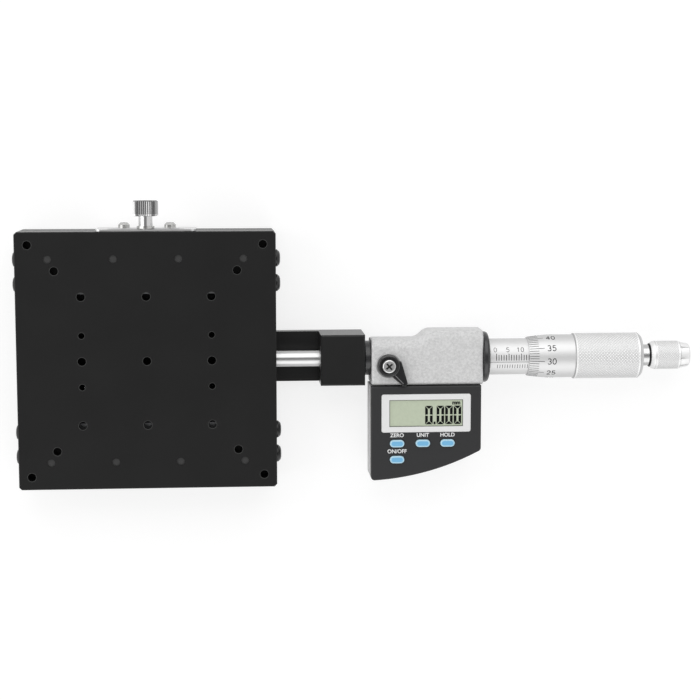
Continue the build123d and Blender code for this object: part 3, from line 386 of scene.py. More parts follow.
def recessed_screw(name, node):
    """Bright steel with painted shade in the cross: black near the head's middle and below its flat
    top.
    """
    f = Finish(name)
    low, high = box_mm(node)
    x, y, z = f.axes()
    x, y = x - (low[0] + high[0]) / 2, y - (low[1] + high[1]) / 2
    near = length_of(x, y) < RECESS_R
    below = (z < high[2] - SKIN) * (z > high[2] - RECESS_DEPTH - 0.1)
    marks = f.noise(3.0, 3.0)
    # painted shade: the cross recess is black and not metallic
    recess = near * below
    f.set(Base_Color=f.mix(recess, f.mix(marks, grey(196), grey(210)), grey(14)))
    f.set(Metallic=1.0 - recess, Roughness=0.24 + 0.1 * marks, Normal=f.bump(marks, 0.000004))


HEAD_LENGTH, FLUTE_DEPTH = 5.2, 0.35    # mm, the thumb screw's head and its straight grooves


def fluted_screw(name, node):
    """Bright steel with painted shade in the straight grooves of a head at the screw's far end in
    y.
    """
    f = Finish(name)
    low, high = box_mm(node)
    x, y, z = f.axes()
    x, z = x - (low[0] + high[0]) / 2, z - (low[2] + high[2]) / 2
    crest = (high[0] - low[0]) / 2
    # painted shade: the head's grooves darken towards their floor
    sunk = f.spread(length_of(x, z), crest, crest - FLUTE_DEPTH) * (y > high[1] - HEAD_LENGTH)
    marks = f.noise(3.0, 3.0)
    f.set(Base_Color=f.mix(sunk, f.mix(marks, grey(196), grey(208)), grey(70)), Metallic=1.0)
    f.set(Roughness=0.14 + 0.06 * marks + 0.2 * sunk, Normal=f.bump(marks, 0.000002))


recessed_screw("lever_screw_steel", "lever_screw")
fluted_screw("thumb_steel", "thumb_screw")
print("made", len(finishes), "finishes")

# %% [markdown]
# ## Dressing the nodes
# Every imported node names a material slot, and most take the finish of that name. A few have a
# finish of their own.

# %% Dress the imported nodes
OWN_FINISH = {
    "lock_lever": "lever_black", "lever_screw": "lever_screw_steel", "lever_collar": "collar_metal",
    "table_rail_screws": "screw_tip", "thumb_screw": "thumb_steel",
    **{button: button + "_blue" for button in BUTTONS},
}
slot_of = {part["node"]: part["material_slot"] for part in frame["record"]["subparts"]}
for name, slot in slot_of.items():
    thing = nodes[name]
    finish = finishes[OWN_FINISH.get(name, slot)]
    for place in thing.material_slots:
        place.material = finish
    if not thing.material_slots:
        thing.data.materials.append(finish)
print("dressed", len(slot_of), "nodes")

# %% [markdown]
# ## Light, floor and surroundings
# Large soft lamps stand round a light tent. The world is white to the camera and to mirrors,
# so that metal has something bright to show, and dimmer as a light. Mirrors also see the tent's
# dark opening overhead. The floor takes the object's soft shadow.

# %% The world
world = bpy.data.worlds.new("tent")
bpy.context.scene.world = world
world.use_nodes = True
tent = Graph(world.node_tree)
tent.tree.nodes.clear()


def seen_directly(graph):
    """1 for rays from the camera, from a mirror or through glass, 0 for soft light."""
    camera_ray, mirror_ray, glass_ray = (
        graph.node("ShaderNodeLightPath", output=name)
        for name in ("Is Camera Ray", "Is Glossy Ray", "Is Transmission Ray")
    )
    return camera_ray.most(mirror_ray).most(glass_ray)


ROOF_DARK = 0.7                # how much of the white the tent's opening overhead takes away
OPENING = (0.86, 0.98)         # the height on a unit sphere where it starts, and where it is full
SOFT_LIGHT = 0.4               # the tent's strength as a light
direction = tent.node("ShaderNodeTexCoord", output="Generated")
upward = tent.node("ShaderNodeSeparateXYZ", {}, {0: direction}, output="Z")
opening = tent.node(
    "ShaderNodeMapRange", {"interpolation_type": "SMOOTHSTEP"},
    {0: upward, 1: OPENING[0], 2: OPENING[1]},
)
mirror = tent.node("ShaderNodeLightPath", output="Is Glossy Ray")
shown = 1.0 - ROOF_DARK * opening * mirror
lit = tent.node("ShaderNodeBackground", {}, {0: colour4(1.0), 1: SOFT_LIGHT})
bright = tent.node("ShaderNodeBackground", {}, {0: colour4(1.0), 1: shown})
either = tent.node("ShaderNodeMixShader", {}, {0: seen_directly(tent), 1: lit, 2: bright})
world_out = tent.tree.nodes.new("ShaderNodeOutputWorld")
tent.tree.links.new(either.socket, world_out.inputs[0])
print("world nodes:", len(tent.tree.nodes))

# %% The lamps
def lamp(name, place, aim, size, watts):
    """A square soft lamp at a place, looking at an aim point, both in millimetres."""
    data = bpy.data.lights.new(name, "AREA")
    data.shape = "SQUARE"
    data.size = size * MM
    data.energy = watts
    thing = bpy.data.objects.new(name, data)
    bpy.context.collection.objects.link(thing)
    back = np.asarray(place, float) - np.asarray(aim, float)
    back /= np.linalg.norm(back)
    side = np.cross((0, 1, 0), back)
    side /= np.linalg.norm(side)
    turned = np.eye(4)
    turned[:3, 0], turned[:3, 1], turned[:3, 2] = side, np.cross(back, side), back
    turned[:3, 3] = np.asarray(place) * MM
    thing.matrix_world = Matrix(turned.tolist())


LAMP_AIM = (80, 0, 10)         # mm, near the object's middle
lamp("lamp_far", (80, 760, 620), LAMP_AIM, 1100, 5.2)
lamp("lamp_left", (-760, 60, 560), LAMP_AIM, 900, 3.4)
lamp("lamp_front", (260, -760, 620), LAMP_AIM, 900, 2.6)

# %% The floor
FLOOR_REACH, FLOOR_Z = 4000, -0.05      # mm from the middle to each side, and the floor's height
GLOW_PART, GLOW = 0.6, 1.25             # how much of the floor's look glows, and how strongly


def finish_floor():
    """White with the shadow kept: seen directly, part of its look glows and the rest is lit."""
    f = Finish("floor_white")
    f.set(Base_Color=(0.8, 0.8, 0.8, 1), Roughness=1.0, Specular_IOR_Level=0.0)
    glow = f.node("ShaderNodeEmission", {}, {"Color": (1, 1, 1, 1), "Strength": GLOW})
    looks = {0: seen_directly(f) * GLOW_PART, 1: Wire(f, f.shader.outputs[0]), 2: glow}
    blend = f.node("ShaderNodeMixShader", {}, looks)
    f.tree.links.new(blend.socket, f.output.inputs["Surface"])
    return f.material


def flat_mesh(name, corners):
    """One flat face from its corners in millimetres."""
    mesh = bpy.data.meshes.new(name)
    points = [tuple(c * MM for c in corner) for corner in corners]
    mesh.from_pydata(points, [], [tuple(range(len(points)))])
    thing = bpy.data.objects.new(name, mesh)
    bpy.context.collection.objects.link(thing)
    return thing


way_round = ((-1, -1), (1, -1), (1, 1), (-1, 1))
floor = flat_mesh("floor", [(FLOOR_REACH * a, FLOOR_REACH * b, FLOOR_Z) for a, b in way_round])
floor.data.materials.append(finish_floor())
floor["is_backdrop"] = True
print("floor", [round(v, 2) for v in floor.dimensions])

# %% [markdown]
# ## Surfaces from whole arrays
# A round part is a profile carried round an axis, and a mark is a thin ribbon carried along a
# path. Both are grids of points: rows along, columns around. One helper turns a grid into
# faces, another stacks many small grids into one shape, and the mesh is filled in one go.

# %% Grids become faces
DRIVE_Y, DRIVE_Z = -1.0, 13.0   # mm, the spindle's axis


def tube_faces(rows, columns, ends="closed"):
    """Faces of a tube: each square joins rows i and i + 1 and columns j and j + 1.

    The columns wrap round. Each end is closed by one face, or the last row joins the first when
    ends is ring.
    """
    index = np.arange(rows * columns).reshape(rows, columns)
    if ends == "ring":
        index = np.vstack([index, index[:1]])
    here, after = index[:-1], index[1:]
    squares = np.stack([here, np.roll(here, -1, 1), np.roll(after, -1, 1), after], -1)
    faces = squares.reshape(-1, 4).tolist()
    if ends == "closed":
        faces += [index[0][::-1].tolist(), index[-1].tolist()]
    return faces


def stack(grids, ends="closed"):
    """One shape, a list of points and one of faces, from one tube or many."""
    points, faces, count = [], [], 0
    for grid in grids:
        rows, columns, _ = grid.shape
        points.append(grid.reshape(-1, 3))
        faces += [[i + count for i in face] for face in tube_faces(rows, columns, ends)]
        count += rows * columns
    return np.vstack(points), faces

# %% Faces become a piece on a body
WELD = 1e-7                     # m, points closer than this become one


def piece(name, shape, body, finish, sharp=30):
    """A mesh object from a shape in millimetres, welded, turned outwards and set on a body.

    Edges that bend by more than sharp degrees stay crisp. The finish fills the mesh's one slot.
    """
    points, faces = shape
    mesh = bpy.data.meshes.new(name)
    mesh.from_pydata((np.asarray(points) * MM).tolist(), [], faces)
    work = bmesh.new()
    work.from_mesh(mesh)
    bmesh.ops.remove_doubles(work, verts=work.verts, dist=WELD)
    bmesh.ops.recalc_face_normals(work, faces=work.faces)
    work.to_mesh(mesh)
    work.free()
    mesh.shade_smooth()
    mesh.set_sharp_from_angle(angle=math.radians(sharp))
    mesh.materials.append(finishes[finish])
    thing = bpy.data.objects.new(name, mesh)
    bpy.context.collection.objects.link(thing)
    if body:
        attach(thing, body)
    print(name, len(mesh.vertices), "points", len(mesh.polygons), "faces on", body)
    return thing


def around(along, radius, angle):
    """A point by its place along the drive axis, its radius and its angle.

    y = radius sin(angle) and z = radius cos(angle), both from the axis, so angle 0 faces up.
    """
    along, radius, angle = np.broadcast_arrays(along, radius, angle)
    return np.stack([along, DRIVE_Y + radius * np.sin(angle), DRIVE_Z + radius * np.cos(angle)], -1)

# %% [markdown]
# ## Cutting the knurls
# A diamond knurl is two sets of V grooves that cross. With u counted in grooves around and v in
# grooves along, the two sets are u + v and u - v. A triangle wave of each is a ramp from 0 in
# the groove to 1 on its crest, and the smaller of the two is a field of small pyramids. Four
# samples to a period put every crest and every groove on a grid line.

# %% The pyramids
def ramp_wave(t):
    """A triangle wave: 0 at whole numbers, 1 half way between."""
    return 1 - np.abs(2 * (t % 1.0) - 1)


def knurl(u, v):
    """Pyramids from 0 to 1: the smaller of two triangle waves, of u + v and of u - v."""
    return np.minimum(ramp_wave(u + v), ramp_wave(u - v))


def knurled_turning(profile, start, stop, grooves, pitch, depth, phase=0.0):
    """A closed turned surface whose stretch from start to stop is knurled.

    The profile is a closed list of (x, radius) with one corner at start. There, rows are added a
    quarter pitch apart as far as stop, and each point sinks by depth (1 - knurl). The depth
    fades in over three rows at both ends.
    """
    columns = 4 * grooves
    angle = phase + np.arange(columns) * 2 * math.pi / columns
    rows = []
    steps = round((stop - start) / pitch * 4)
    for x, radius in profile:
        if x == start:
            for step in range(steps + 1):
                along = start + step * pitch / 4
                u, v = np.arange(columns) / 4, step / 4
                fade = min(1.0, step / 3, (steps - step) / 3)
                rows.append(around(along, radius - depth * fade * (1 - knurl(u, v)), angle))
        else:
            rows.append(around(x, radius, angle))
    return np.array(rows)


SHOULDER = 0.5                 # mm of turned step at each end of a grip


def knurled_chrome(name, crest, depth, start, stop, smooth, rubber_end=0.0):
    """Satin chrome with painted shade in a knurl's grooves: darker by how far a point lies below
    the crest's radius.

    The turned shoulders at the grip's ends get painted shade too, darker than the smooth parts,
    whose display level is smooth. Where a turning starts with a black rubber ring, rubber_end is
    the ring's last x.
    """
    f = Finish(name)
    x, y, z = f.axes()
    y, z = y - DRIVE_Y, z - DRIVE_Z
    sunk = f.spread(length_of(y, z), crest, crest - depth)
    grip = (x > start) * (x < stop)
    shoulder = (x > start - SHOULDER) * (x < stop + SHOULDER) * (1.0 - grip)
    marks = f.noise(9.0, 3.0)
    # painted shade on the grip's turned shoulders, darker than the smooth chrome
    plain = f.mix(shoulder, f.mix(marks, grey(smooth - 5), grey(smooth + 5)), grey(smooth - 22))
    # painted shade: the knurl darkens from its crests into its grooves
    knurled = f.mix(sunk, grey(234), grey(192))
    rubber = x < rubber_end
    f.set(Base_Color=f.mix(rubber, f.mix(grip, plain, knurled), grey(30)), Metallic=1.0 - rubber)
    f.set(Roughness=0.5 + 0.06 * marks + 0.08 * sunk * grip)
    f.set(Normal=f.bump(marks, 0.000004))


print("knurl heights at quarter steps:", knurl(np.arange(4) / 4, 0.25))

# %% [markdown]
# ## The thimble
# The thimble is one turned tube: a thin bevelled edge for reading, a cone, a plain barrel and a
# raised grip. Its numbers lie on the cone and barrel, its knurl on the grip. The bore leaves
# room for the sleeve, then narrows to the spindle's end, and the neck of the knob passes the
# last wall.

# %% Turn and knurl the thimble
SLEEVE_R = 7.2
EDGE_X, EDGE_R = 150.1, 7.75
CONE_X, CONE_R = 156.5, 8.5
BARREL_X, BARREL_R = 160.0, 8.6
KNURL_R = 9.15
GRIP_START, GRIP_END = 168.9, 194.4
THIMBLE_END = 195.9
BORE_R, BORE_END = SLEEVE_R + 0.08, 183.0
SPINDLE_BORE_R, SPINDLE_BORE_END = 3.27, THIMBLE_END - 4
NECK_BORE_R = 2.45
thimble_profile = [
    (EDGE_X + 0.02, BORE_R), (EDGE_X, EDGE_R - 0.03), (EDGE_X + 0.05, EDGE_R),
    (CONE_X, CONE_R), (BARREL_X, BARREL_R), (168.5, BARREL_R), (168.75, KNURL_R - 0.12),
    (GRIP_START, KNURL_R), (GRIP_END + 0.25, KNURL_R), (THIMBLE_END, KNURL_R - 1.1),
    (THIMBLE_END, NECK_BORE_R), (SPINDLE_BORE_END, NECK_BORE_R),
    (SPINDLE_BORE_END, SPINDLE_BORE_R), (BORE_END, SPINDLE_BORE_R), (BORE_END, BORE_R),
]
GRIP_GROOVES, GRIP_PITCH, GRIP_DEPTH = 46, 1.22, 0.24
CRISP = 12                      # degrees, so that a knurl's small faces keep their edges
knurled_chrome("thimble_chrome", KNURL_R, GRIP_DEPTH, GRIP_START, GRIP_END, 203)
grid = knurled_turning(
    thimble_profile, GRIP_START, GRIP_END, GRIP_GROOVES, GRIP_PITCH, GRIP_DEPTH,
)
thimble = piece(
    "thimble_knurled", stack([grid], "ring"), "thimble", "thimble_chrome", CRISP,
)
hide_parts("thimble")

# %% [markdown]
# ## The ratchet knob
# The knob has a finer knurl and a tapered end with eight slots. A slot is cut into the same
# turned surface: near eight angles, even turns apart, the radius drops to the slot's floor.

# %% Turn, knurl and slot the knob
KNOB_X, KNOB_R, KNOB_END = 199.45, 5.7, 215.7
KNOB_GRIP = (202.0, 211.4)
KNOB_GROOVES, KNOB_PITCH, KNOB_DEPTH = 36, 0.94, 0.18
RUBBER_END = KNOB_X + 0.42
PIN_BORE_R, SPRING_BORE_R = 2.05, 3.2
SLOTS, SLOT_WIDTH, SLOT_FLOOR = 8, 0.95, KNOB_R - 1.3
FIRST_SLOT = math.radians(-6)
knob_profile = [
    (KNOB_X, PIN_BORE_R), (KNOB_X, 4.25), (KNOB_X + 0.1, 4.6), (KNOB_X + 0.4, 4.6),
    (KNOB_X + 0.45, 4.85), (KNOB_X + 1, KNOB_R - 0.5), (KNOB_X + 1.8, KNOB_R - 0.12),
    (KNOB_GRIP[0], KNOB_R), (KNOB_GRIP[1], KNOB_R), (KNOB_GRIP[1] + 0.2, KNOB_R - 0.3),
    (KNOB_GRIP[1] + 0.22, KNOB_R - 0.3), (KNOB_END - 0.5, KNOB_R - 0.95), (KNOB_END, KNOB_R - 1.5),
    (KNOB_END, 0.0), (212.0, 0.0), (212.0, SPRING_BORE_R), (205.0, SPRING_BORE_R),
    (205.0, PIN_BORE_R),
]


def slotted(grid, start):
    """Beyond start, points near enough to a slot's middle drop to the slot's floor."""
    x, y, z = grid[..., 0], grid[..., 1] - DRIVE_Y, grid[..., 2] - DRIVE_Z
    radius, angle = np.hypot(y, z), np.arctan2(y, z)
    turn = 2 * math.pi / SLOTS
    away = np.abs((angle - FIRST_SLOT + turn / 2) % turn - turn / 2) * radius
    cut = (x > start) & (radius > SLOT_FLOOR) & (away < SLOT_WIDTH / 2)
    return np.where(cut[..., None], around(x, SLOT_FLOOR, angle), grid)


knurled_chrome("knob_chrome", KNOB_R, KNOB_DEPTH, *KNOB_GRIP, 226, RUBBER_END)
grid = knurled_turning(
    knob_profile, *KNOB_GRIP, KNOB_GROOVES, KNOB_PITCH, KNOB_DEPTH, FIRST_SLOT,
)
grid = slotted(grid, KNOB_GRIP[1] + 0.21)
knob = piece(
    "ratchet_knob_knurled", stack([grid], "ring"), "ratchet", "knob_chrome", CRISP,
)
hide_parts("ratchet_knob")

# %% [markdown]
# ## Ribbons for engraved marks
# A scale is engraved by a cutter that follows a line, so every mark here is a path with a
# width. The path is drawn flat, then wrapped: its first coordinate goes along the axis, its
# second becomes an angle, s / radius. Digits are drawn from a few arcs and straight strokes, as
# an engraving machine draws them.

# %% Paths with a width
MARK_PROUD = 0.012              # mm that a filled mark stands above its surface
MARK_SUNK = -0.02               # mm, its underside


def even_path(path, step=0.12):
    """The same polyline with points about a step apart, by its own length."""
    path = np.asarray(path, float)
    lengths = np.hypot(*np.diff(path, axis=0).T)
    travel = np.concatenate([[0], np.cumsum(lengths)])
    count = max(2, int(travel[-1] / step) + 1)
    wanted = np.unique(np.concatenate([np.linspace(0, travel[-1], count), travel]))
    return np.stack([np.interp(wanted, travel, path[:, k]) for k in (0, 1)], -1)


def ribbon(path, width, low=MARK_SUNK, high=MARK_PROUD):
    """A flat bar along a path, between two heights.

    Each point of the path moves half the width to both sides of its direction.
    """
    path = even_path(path)
    along = np.gradient(path, axis=0)
    along /= np.maximum(np.linalg.norm(along, axis=1, keepdims=True), 1e-9)
    side = np.stack([-along[:, 1], along[:, 0]], -1) * width / 2
    corners = [(path - side, low), (path + side, low), (path + side, high), (path - side, high)]
    return np.stack([np.column_stack([p, np.full(len(p), h)]) for p, h in corners], 1)


def wrap(flat, radius_at, angle):
    """Rolls flat points (x, s, height) round the drive axis.

    x stays, s becomes the angle plus s / radius, and the height adds to the radius.
    """
    radius = radius_at(flat[..., 0])
    return around(flat[..., 0], radius + flat[..., 2], angle + flat[..., 1] / radius)

# %% Strokes of the digits
def arc(x, y, across, up, start, stop, count=14):
    """Points on an ellipse between two angles in degrees."""
    t = np.radians(np.linspace(start, stop, count))
    return list(zip(x + across * np.cos(t), y + up * np.sin(t)))


STROKES = {
    "0": [arc(0.3, 0.5, 0.28, 0.48, 90, 450, 26)],
    "1": [[(0.12, 0.78), (0.34, 0.98), (0.34, 0.02)]],
    "2": [arc(0.3, 0.7, 0.27, 0.28, 165, -35) + [(0.03, 0.02), (0.6, 0.02)]],
    "3": [arc(0.28, 0.74, 0.25, 0.24, 150, -90), arc(0.28, 0.26, 0.29, 0.24, 90, -150)],
    "4": [[(0.45, 0.02), (0.45, 0.98), (0.02, 0.3), (0.6, 0.3)]],
    "5": [[(0.54, 0.98), (0.12, 0.98), (0.07, 0.56)] + arc(0.28, 0.32, 0.29, 0.3, 130, -150)],
}


ADVANCE, DIGIT_W = 0.84, 0.6    # from one digit to the next, and its width, by its height


def digits(text, height, x, s, width):
    """Ribbons of a number of the given height, centred on (x, s)."""
    start = -(ADVANCE * (len(text) - 1) + DIGIT_W) / 2
    bars = []
    for place, digit in enumerate(text):
        for stroke in STROKES[digit]:
            path = np.asarray(stroke) + (start + ADVANCE * place, -0.5)
            bars.append(ribbon(path * height + (x, s), width))
    return bars


plastic("engraved", rgb(30, 30, 32), 0.6, 8.0, 0.0, 0.1)
print("digits with strokes:", sorted(STROKES))

# %% [markdown]
# ## The sleeve's scale
# One line runs along the sleeve, turned a little towards the reader. Whole millimetres stand
# on its upper side, half millimetres on its lower side, and every fifth whole millimetre is
# longer and numbered.

# %% Engrave the sleeve
INDEX_ANGLE = math.radians(-11.75)      # the line's turn from facing up, towards the reader
LINE_X = (134.6, 167.3)                 # mm, the line's ends
ZERO_X, TRAVEL = 137.0, 25              # mm, the first mark, and the last one after it
WHOLE, FIFTH = (0.66, 2.9), (0.66, 3.4)     # mm from the line: where a mark starts and stops
HALF = (-1.04, -2.7)


def on_sleeve(x):
    """The sleeve is a plain cylinder."""
    return np.full_like(np.asarray(x, float), SLEEVE_R)


def tick(x, reach, width):
    """A mark straight across the sleeve's line, between two distances from it."""
    return ribbon([(x, s) for s in reach], width)


bars = [ribbon([(x, 0) for x in LINE_X], 0.14)]
for step in range(TRAVEL + 1):
    bars.append(tick(ZERO_X + step, WHOLE if step % 5 else FIFTH, 0.26))
    bars.append(tick(ZERO_X + step + 0.5, HALF, 0.2))
for number in range(0, TRAVEL + 1, 5):
    bars += digits(str(number), 1.9, ZERO_X + number - 0.4, 5.0, 0.2)
wrapped = [wrap(bar, on_sleeve, INDEX_ANGLE) for bar in bars]
piece("sleeve_scale", stack(wrapped), "base", "engraved")

# %% [markdown]
# ## The thimble's scale
# Fifty lines on the bevelled edge divide one turn, 7.2 degrees apart. Every fifth runs further
# and is numbered on the cone, and the numbers grow towards the far side. At rest the line of
# the sleeve points between 29 and 30.

# %% Engrave the thimble
AT_REST = 29.5                  # the division on the sleeve's line
DIVISIONS = 50
TICK, LONG_TICK = 3.9, 6.0      # mm from the edge to a mark's end
NUMBER_X = 159.0


def on_thimble(x):
    """The radius along the edge, cone and barrel, by straight lines between the corners."""
    corners = [EDGE_X, CONE_X, BARREL_X, GRIP_START]
    return np.interp(x, corners, [EDGE_R, CONE_R, BARREL_R, BARREL_R])


wrapped = []
for division in range(DIVISIONS):
    angle = INDEX_ANGLE + (division - AT_REST) * (2 * math.pi / DIVISIONS)
    reach = TICK if division % 5 else LONG_TICK
    bars = [ribbon([(EDGE_X + 0.15, 0), (EDGE_X + reach, 0)], 0.2)]
    if division % 5 == 0:
        bars += digits(str(division), 2.35, NUMBER_X, 0, 0.32)
    wrapped += [wrap(bar, on_thimble, angle) for bar in bars]
piece("thimble_scale", stack(wrapped), "thimble", "engraved")

# %% [markdown]
# ## The return springs
# Each spring is a helix of wire with a hook at both ends. It is wound here at its rest length.

# %% Wind the springs
SPRING_X0, SPRING_X1 = -30.0, 42.0      # mm, the middles of the two hooks
SPRING_Y, SPRING_Z = 13.0, 12.9
COIL_R, WIRE_R, HOOK_R = 2.1, 0.3, 1.9
LEAD = 5.0                              # mm from a hook's middle to the first turn
ASLANT = (0.0, 0.31, 0.95)              # a direction that the wire hardly ever takes


def wire(path, radius, columns=6):
    """A round wire: a circle about each point, in two directions at right angles to the path."""
    path = np.asarray(path, float)
    along = np.gradient(path, axis=0)
    along /= np.linalg.norm(along, axis=1, keepdims=True)
    first = np.cross(along, ASLANT)
    first /= np.linalg.norm(first, axis=1, keepdims=True)
    second = np.cross(along, first)
    t = np.arange(columns) * 2 * math.pi / columns
    cosine, sine = np.cos(t)[None, :, None], np.sin(t)[None, :, None]
    return path[:, None, :] + radius * (cosine * first[:, None, :] + sine * second[:, None, :])


def hook(x, y, way):
    """Most of a circle about a spring post. way is -1 or 1, for the hook's open side."""
    t = np.linspace(-0.5, 1.25, 16) * math.pi
    return np.stack([x + way * HOOK_R * np.sin(t), y + 0 * t, SPRING_Z - HOOK_R * np.cos(t)], -1)


def spring_path(y, turns=62, per_turn=14):
    """A helix between two hooks: x grows evenly, y and z go round, and straight wire joins them."""
    start, stop = SPRING_X0 + LEAD, SPRING_X1 - LEAD
    t = np.linspace(0, turns * 2 * math.pi, turns * per_turn + 1)
    x = start + (stop - start) * t / t[-1]
    coil = np.stack([x, y + COIL_R * np.sin(t), SPRING_Z + COIL_R * np.cos(t)], -1)
    a = np.linspace(0, 1, 12)[:, None]
    first, last = hook(SPRING_X0, y, -1), hook(SPRING_X1, y, 1)
    lead_in = first[0] * (1 - a) + coil[0] * a
    lead_out = coil[-1] * (1 - a) + last[0] * a
    return np.vstack([first[::-1], lead_in[1:-1], coil, lead_out[1:-1], last])


for side, name in ((-1, "near"), (1, "far")):
    grid = wire(spring_path(side * SPRING_Y), WIRE_R)
    coil = piece("spring_coil_" + name, stack([grid]), None, "spring_steel", 60)
    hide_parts("spring_" + name)
    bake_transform(coil)

# %% [markdown]
# ## The lips of the table's holes
# Each tapped hole starts with the first turn of its thread. A small ring with a sloped inner face
# stands for it; its black is lighter than the table's, a painted highlight, and its slope
# catches the light on one side.

# %% Turn a lip for every hole
LARGE_R, SMALL_R = 1.65, 1.25   # mm, the bores for M4 and M3 threads
LIP = np.array([(-0.05, -0.06), (0.0, 0.012), (0.15, 0.012), (0.15, -0.1), (-0.05, -0.16)])
LIP_SIDES = 24

pairs = [(a, b) for a in (-1, 1) for b in (-1, 1)]
holes = [(reach * a, reach * b, LARGE_R) for reach in (45, 35) for a, b in pairs]
holes += [(25 * a, 25 * b, LARGE_R) for a in (-1, 0, 1) for b in (-1, 0, 1)]
holes += [(25 * a, 10 * b, SMALL_R) for a, b in pairs]
turn = np.arange(LIP_SIDES) * 2 * math.pi / LIP_SIDES
lips = []
for x, y, radius in holes:
    out = radius + LIP[:, :1]
    up = np.broadcast_to(TABLE_TOP + LIP[:, 1:], (len(LIP), LIP_SIDES))
    lips.append(np.stack([x + out * np.cos(turn), y + out * np.sin(turn), up], -1))
# the lip's lighter black is a painted highlight for the thread's glints
anodised("lip_highlight_black", 58, 0.3, 0.6)
piece("table_hole_lips", stack(lips, "ring"), "table", "lip_highlight_black")

# %% [markdown]
# ## The lever's ridge highlight
# The clamp lever is blackened steel. A narrow bar of grey, a few hundredths of a millimetre
# proud, runs along the arm's upper ridge from the hub to the tip: a painted highlight.

# %% Lay the ridge on the arm
LEVER_X, LEVER_Y, ARM_TOP = 94.0, -3.1, 24.2    # mm, the lever's axis and its upper face
LEVER_ANGLE = math.radians(-48)                 # from X to the arm
RIDGE, RIDGE_W = ((4.4, -0.62), (9.0, -0.45)), 0.26     # mm along the arm and across it

cosine, sine = math.cos(LEVER_ANGLE), math.sin(LEVER_ANGLE)
ridge = np.array(RIDGE) @ np.array([[cosine, sine], [-sine, cosine]]) + (LEVER_X, LEVER_Y)
# painted highlight: a grey bar where the ridge catches a lamp
bar = ribbon(ridge, RIDGE_W, ARM_TOP - 0.1, ARM_TOP + 0.06)
piece("lever_ridge", stack([bar]), "lever", "ridge_highlight")

# %% [markdown]
# ## What the display shows
# A seven-segment zero is six bars. Each is long on the figure's outside and short on its
# inside, so that two of them meet in a mitre with a small gap. The bars are dark and lie just
# on the glass. The decimal point and the small unit letters are part of the same dark layer.
# Where the glass goes under the bezel a thin shadow line runs round it.

# %% Draw the figures
GLASS_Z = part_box("lcd_panel")[1][2] / MM
INK = 0.02                     # mm that the dark layer lies above and below the glass
FIGURE_Y, FIGURES_X = -26.7, (108.55, 113.1, 116.5, 119.9)
FIGURE_W, FIGURE_H, BAR = 3.0, 7.4, 1.1
POINT_X = (111.9, 112.7)       # mm, the decimal point's sides
GAP = 0.14                     # mm, half the space between two bars


def prism(outline, low, high):
    """A closed prism over an outline of (x, y): a tube of two rows, at two heights."""
    outline = np.asarray(outline, float)
    return np.stack([np.column_stack([outline, np.full(len(outline), h)]) for h in (low, high)])


def rectangle(x0, y0, x1, y1):
    """The four corners of an upright rectangle."""
    return [(x0, y0), (x1, y0), (x1, y1), (x0, y1)]


def figure(x, y):
    """The six bars of a zero, its lower left corner at (x, y), with mitred corners."""
    right, top, mid = x + FIGURE_W, y + FIGURE_H, y + FIGURE_H / 2
    outlines = []
    for outer, inner in ((top, top - BAR), (y, y + BAR)):
        outlines.append([
            (x + GAP, outer), (right - GAP, outer),
            (right - BAR - GAP, inner), (x + BAR + GAP, inner),
        ])
    for outer, inner in ((x, x + BAR), (right, right - BAR)):
        outlines.append([
            (outer, mid + GAP), (outer, top - GAP),
            (inner, top - BAR - GAP), (inner, mid + 2 * GAP),
        ])
        outlines.append([
            (outer, mid - GAP), (outer, y + GAP),
            (inner, y + BAR + GAP), (inner, mid - 2 * GAP),
        ])
    return outlines


plastic("lcd_ink", rgb(10, 12, 12), 0.5, 8.0, 0.0, 0.1)
outlines = [bar for x in FIGURES_X for bar in figure(x, FIGURE_Y)]
outlines.append(rectangle(POINT_X[0], FIGURE_Y, POINT_X[1], FIGURE_Y + BAR))
prisms = [prism(outline, GLASS_Z - INK, GLASS_Z + INK) for outline in outlines]
piece("lcd_figures", stack(prisms), "base", "lcd_ink")
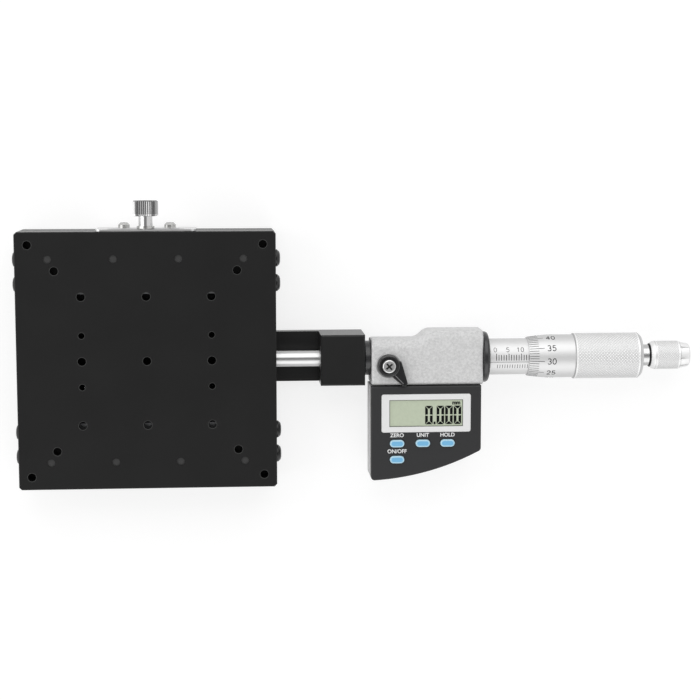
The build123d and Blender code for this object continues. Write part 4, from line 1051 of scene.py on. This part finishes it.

# %% Draw the painted shadow line round the glass
# painted shadow: a dark line where the glass goes under the bezel
plastic("lcd_painted_shadow", rgb(96, 100, 90), 0.5, 8.0, 0.0, 0.1)
LINE = 0.22                    # mm, its width
x0, x1, y0, y1 = 94.4, 123.5, -27.45, -16.85    # mm, the bezel's opening
sides = [
    (x0, y0, x1, y0 + LINE), (x0, y1 - LINE, x1, y1),
    (x0, y0 + LINE, x0 + LINE, y1 - LINE), (x1 - LINE, y0 + LINE, x1, y1 - LINE),
]
prisms = [prism(rectangle(*side), GLASS_Z - INK, GLASS_Z + INK / 2) for side in sides]
piece("lcd_edge_line", stack(prisms), "base", "lcd_painted_shadow")

# %% [markdown]
# ## The printed words
# The font's outline gets a thickness and a slight swell, becomes a mesh, and is moved to its
# place just above the glass or the cover.

# %% Print the small words
LETTERS = 1.5                  # mm, the height of a word
PRINT = 0.015                  # mm, half of a printed word's thickness


def printed(name, text, place, finish, swell=0.05):
    """Text as a thin plate on the base, with its middle at a place in millimetres."""
    curve = bpy.data.curves.new(name, "FONT")
    curve.body = text
    curve.size = LETTERS * 1.4 * MM
    curve.align_x = "CENTER"
    curve.align_y = "CENTER"
    curve.extrude = PRINT * MM
    curve.offset = swell * MM
    draft = bpy.data.objects.new(name + "_draft", curve)
    bpy.context.collection.objects.link(draft)
    mesh = bpy.data.meshes.new_from_object(draft)
    points = np.zeros(len(mesh.vertices) * 3)
    mesh.vertices.foreach_get("co", points)
    points = points.reshape(-1, 3) / MM + place
    faces = [list(face.vertices) for face in mesh.polygons]
    bpy.data.objects.remove(draft)
    piece(name, (points, faces), "base", finish)


plastic("legend_white", rgb(240, 240, 240), 0.5)
COVER_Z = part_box("display_cover")[1][2] / MM
printed("lcd_unit", "mm", (120.9, -18.15, GLASS_Z + 0.01), "lcd_ink", 0.11)
LEGENDS = {
    "ZERO": (97.4, -30.9), "UNIT": (107.6, -30.9), "HOLD": (117.4, -30.9),
    "ON/OFF": (97.4, -37.3),
}
for text, (x, y) in LEGENDS.items():
    name = "legend_" + text.lower().replace("/", "_")
    printed(name, text, (x, y, COVER_Z + 0.01), "legend_white")

# %% Write the sizes and finish
low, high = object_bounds()
growth = np.array((*low, *high)) - np.array((*cad_low, *cad_high))
print("grown by mm:", (growth / MM).round(3).tolist())
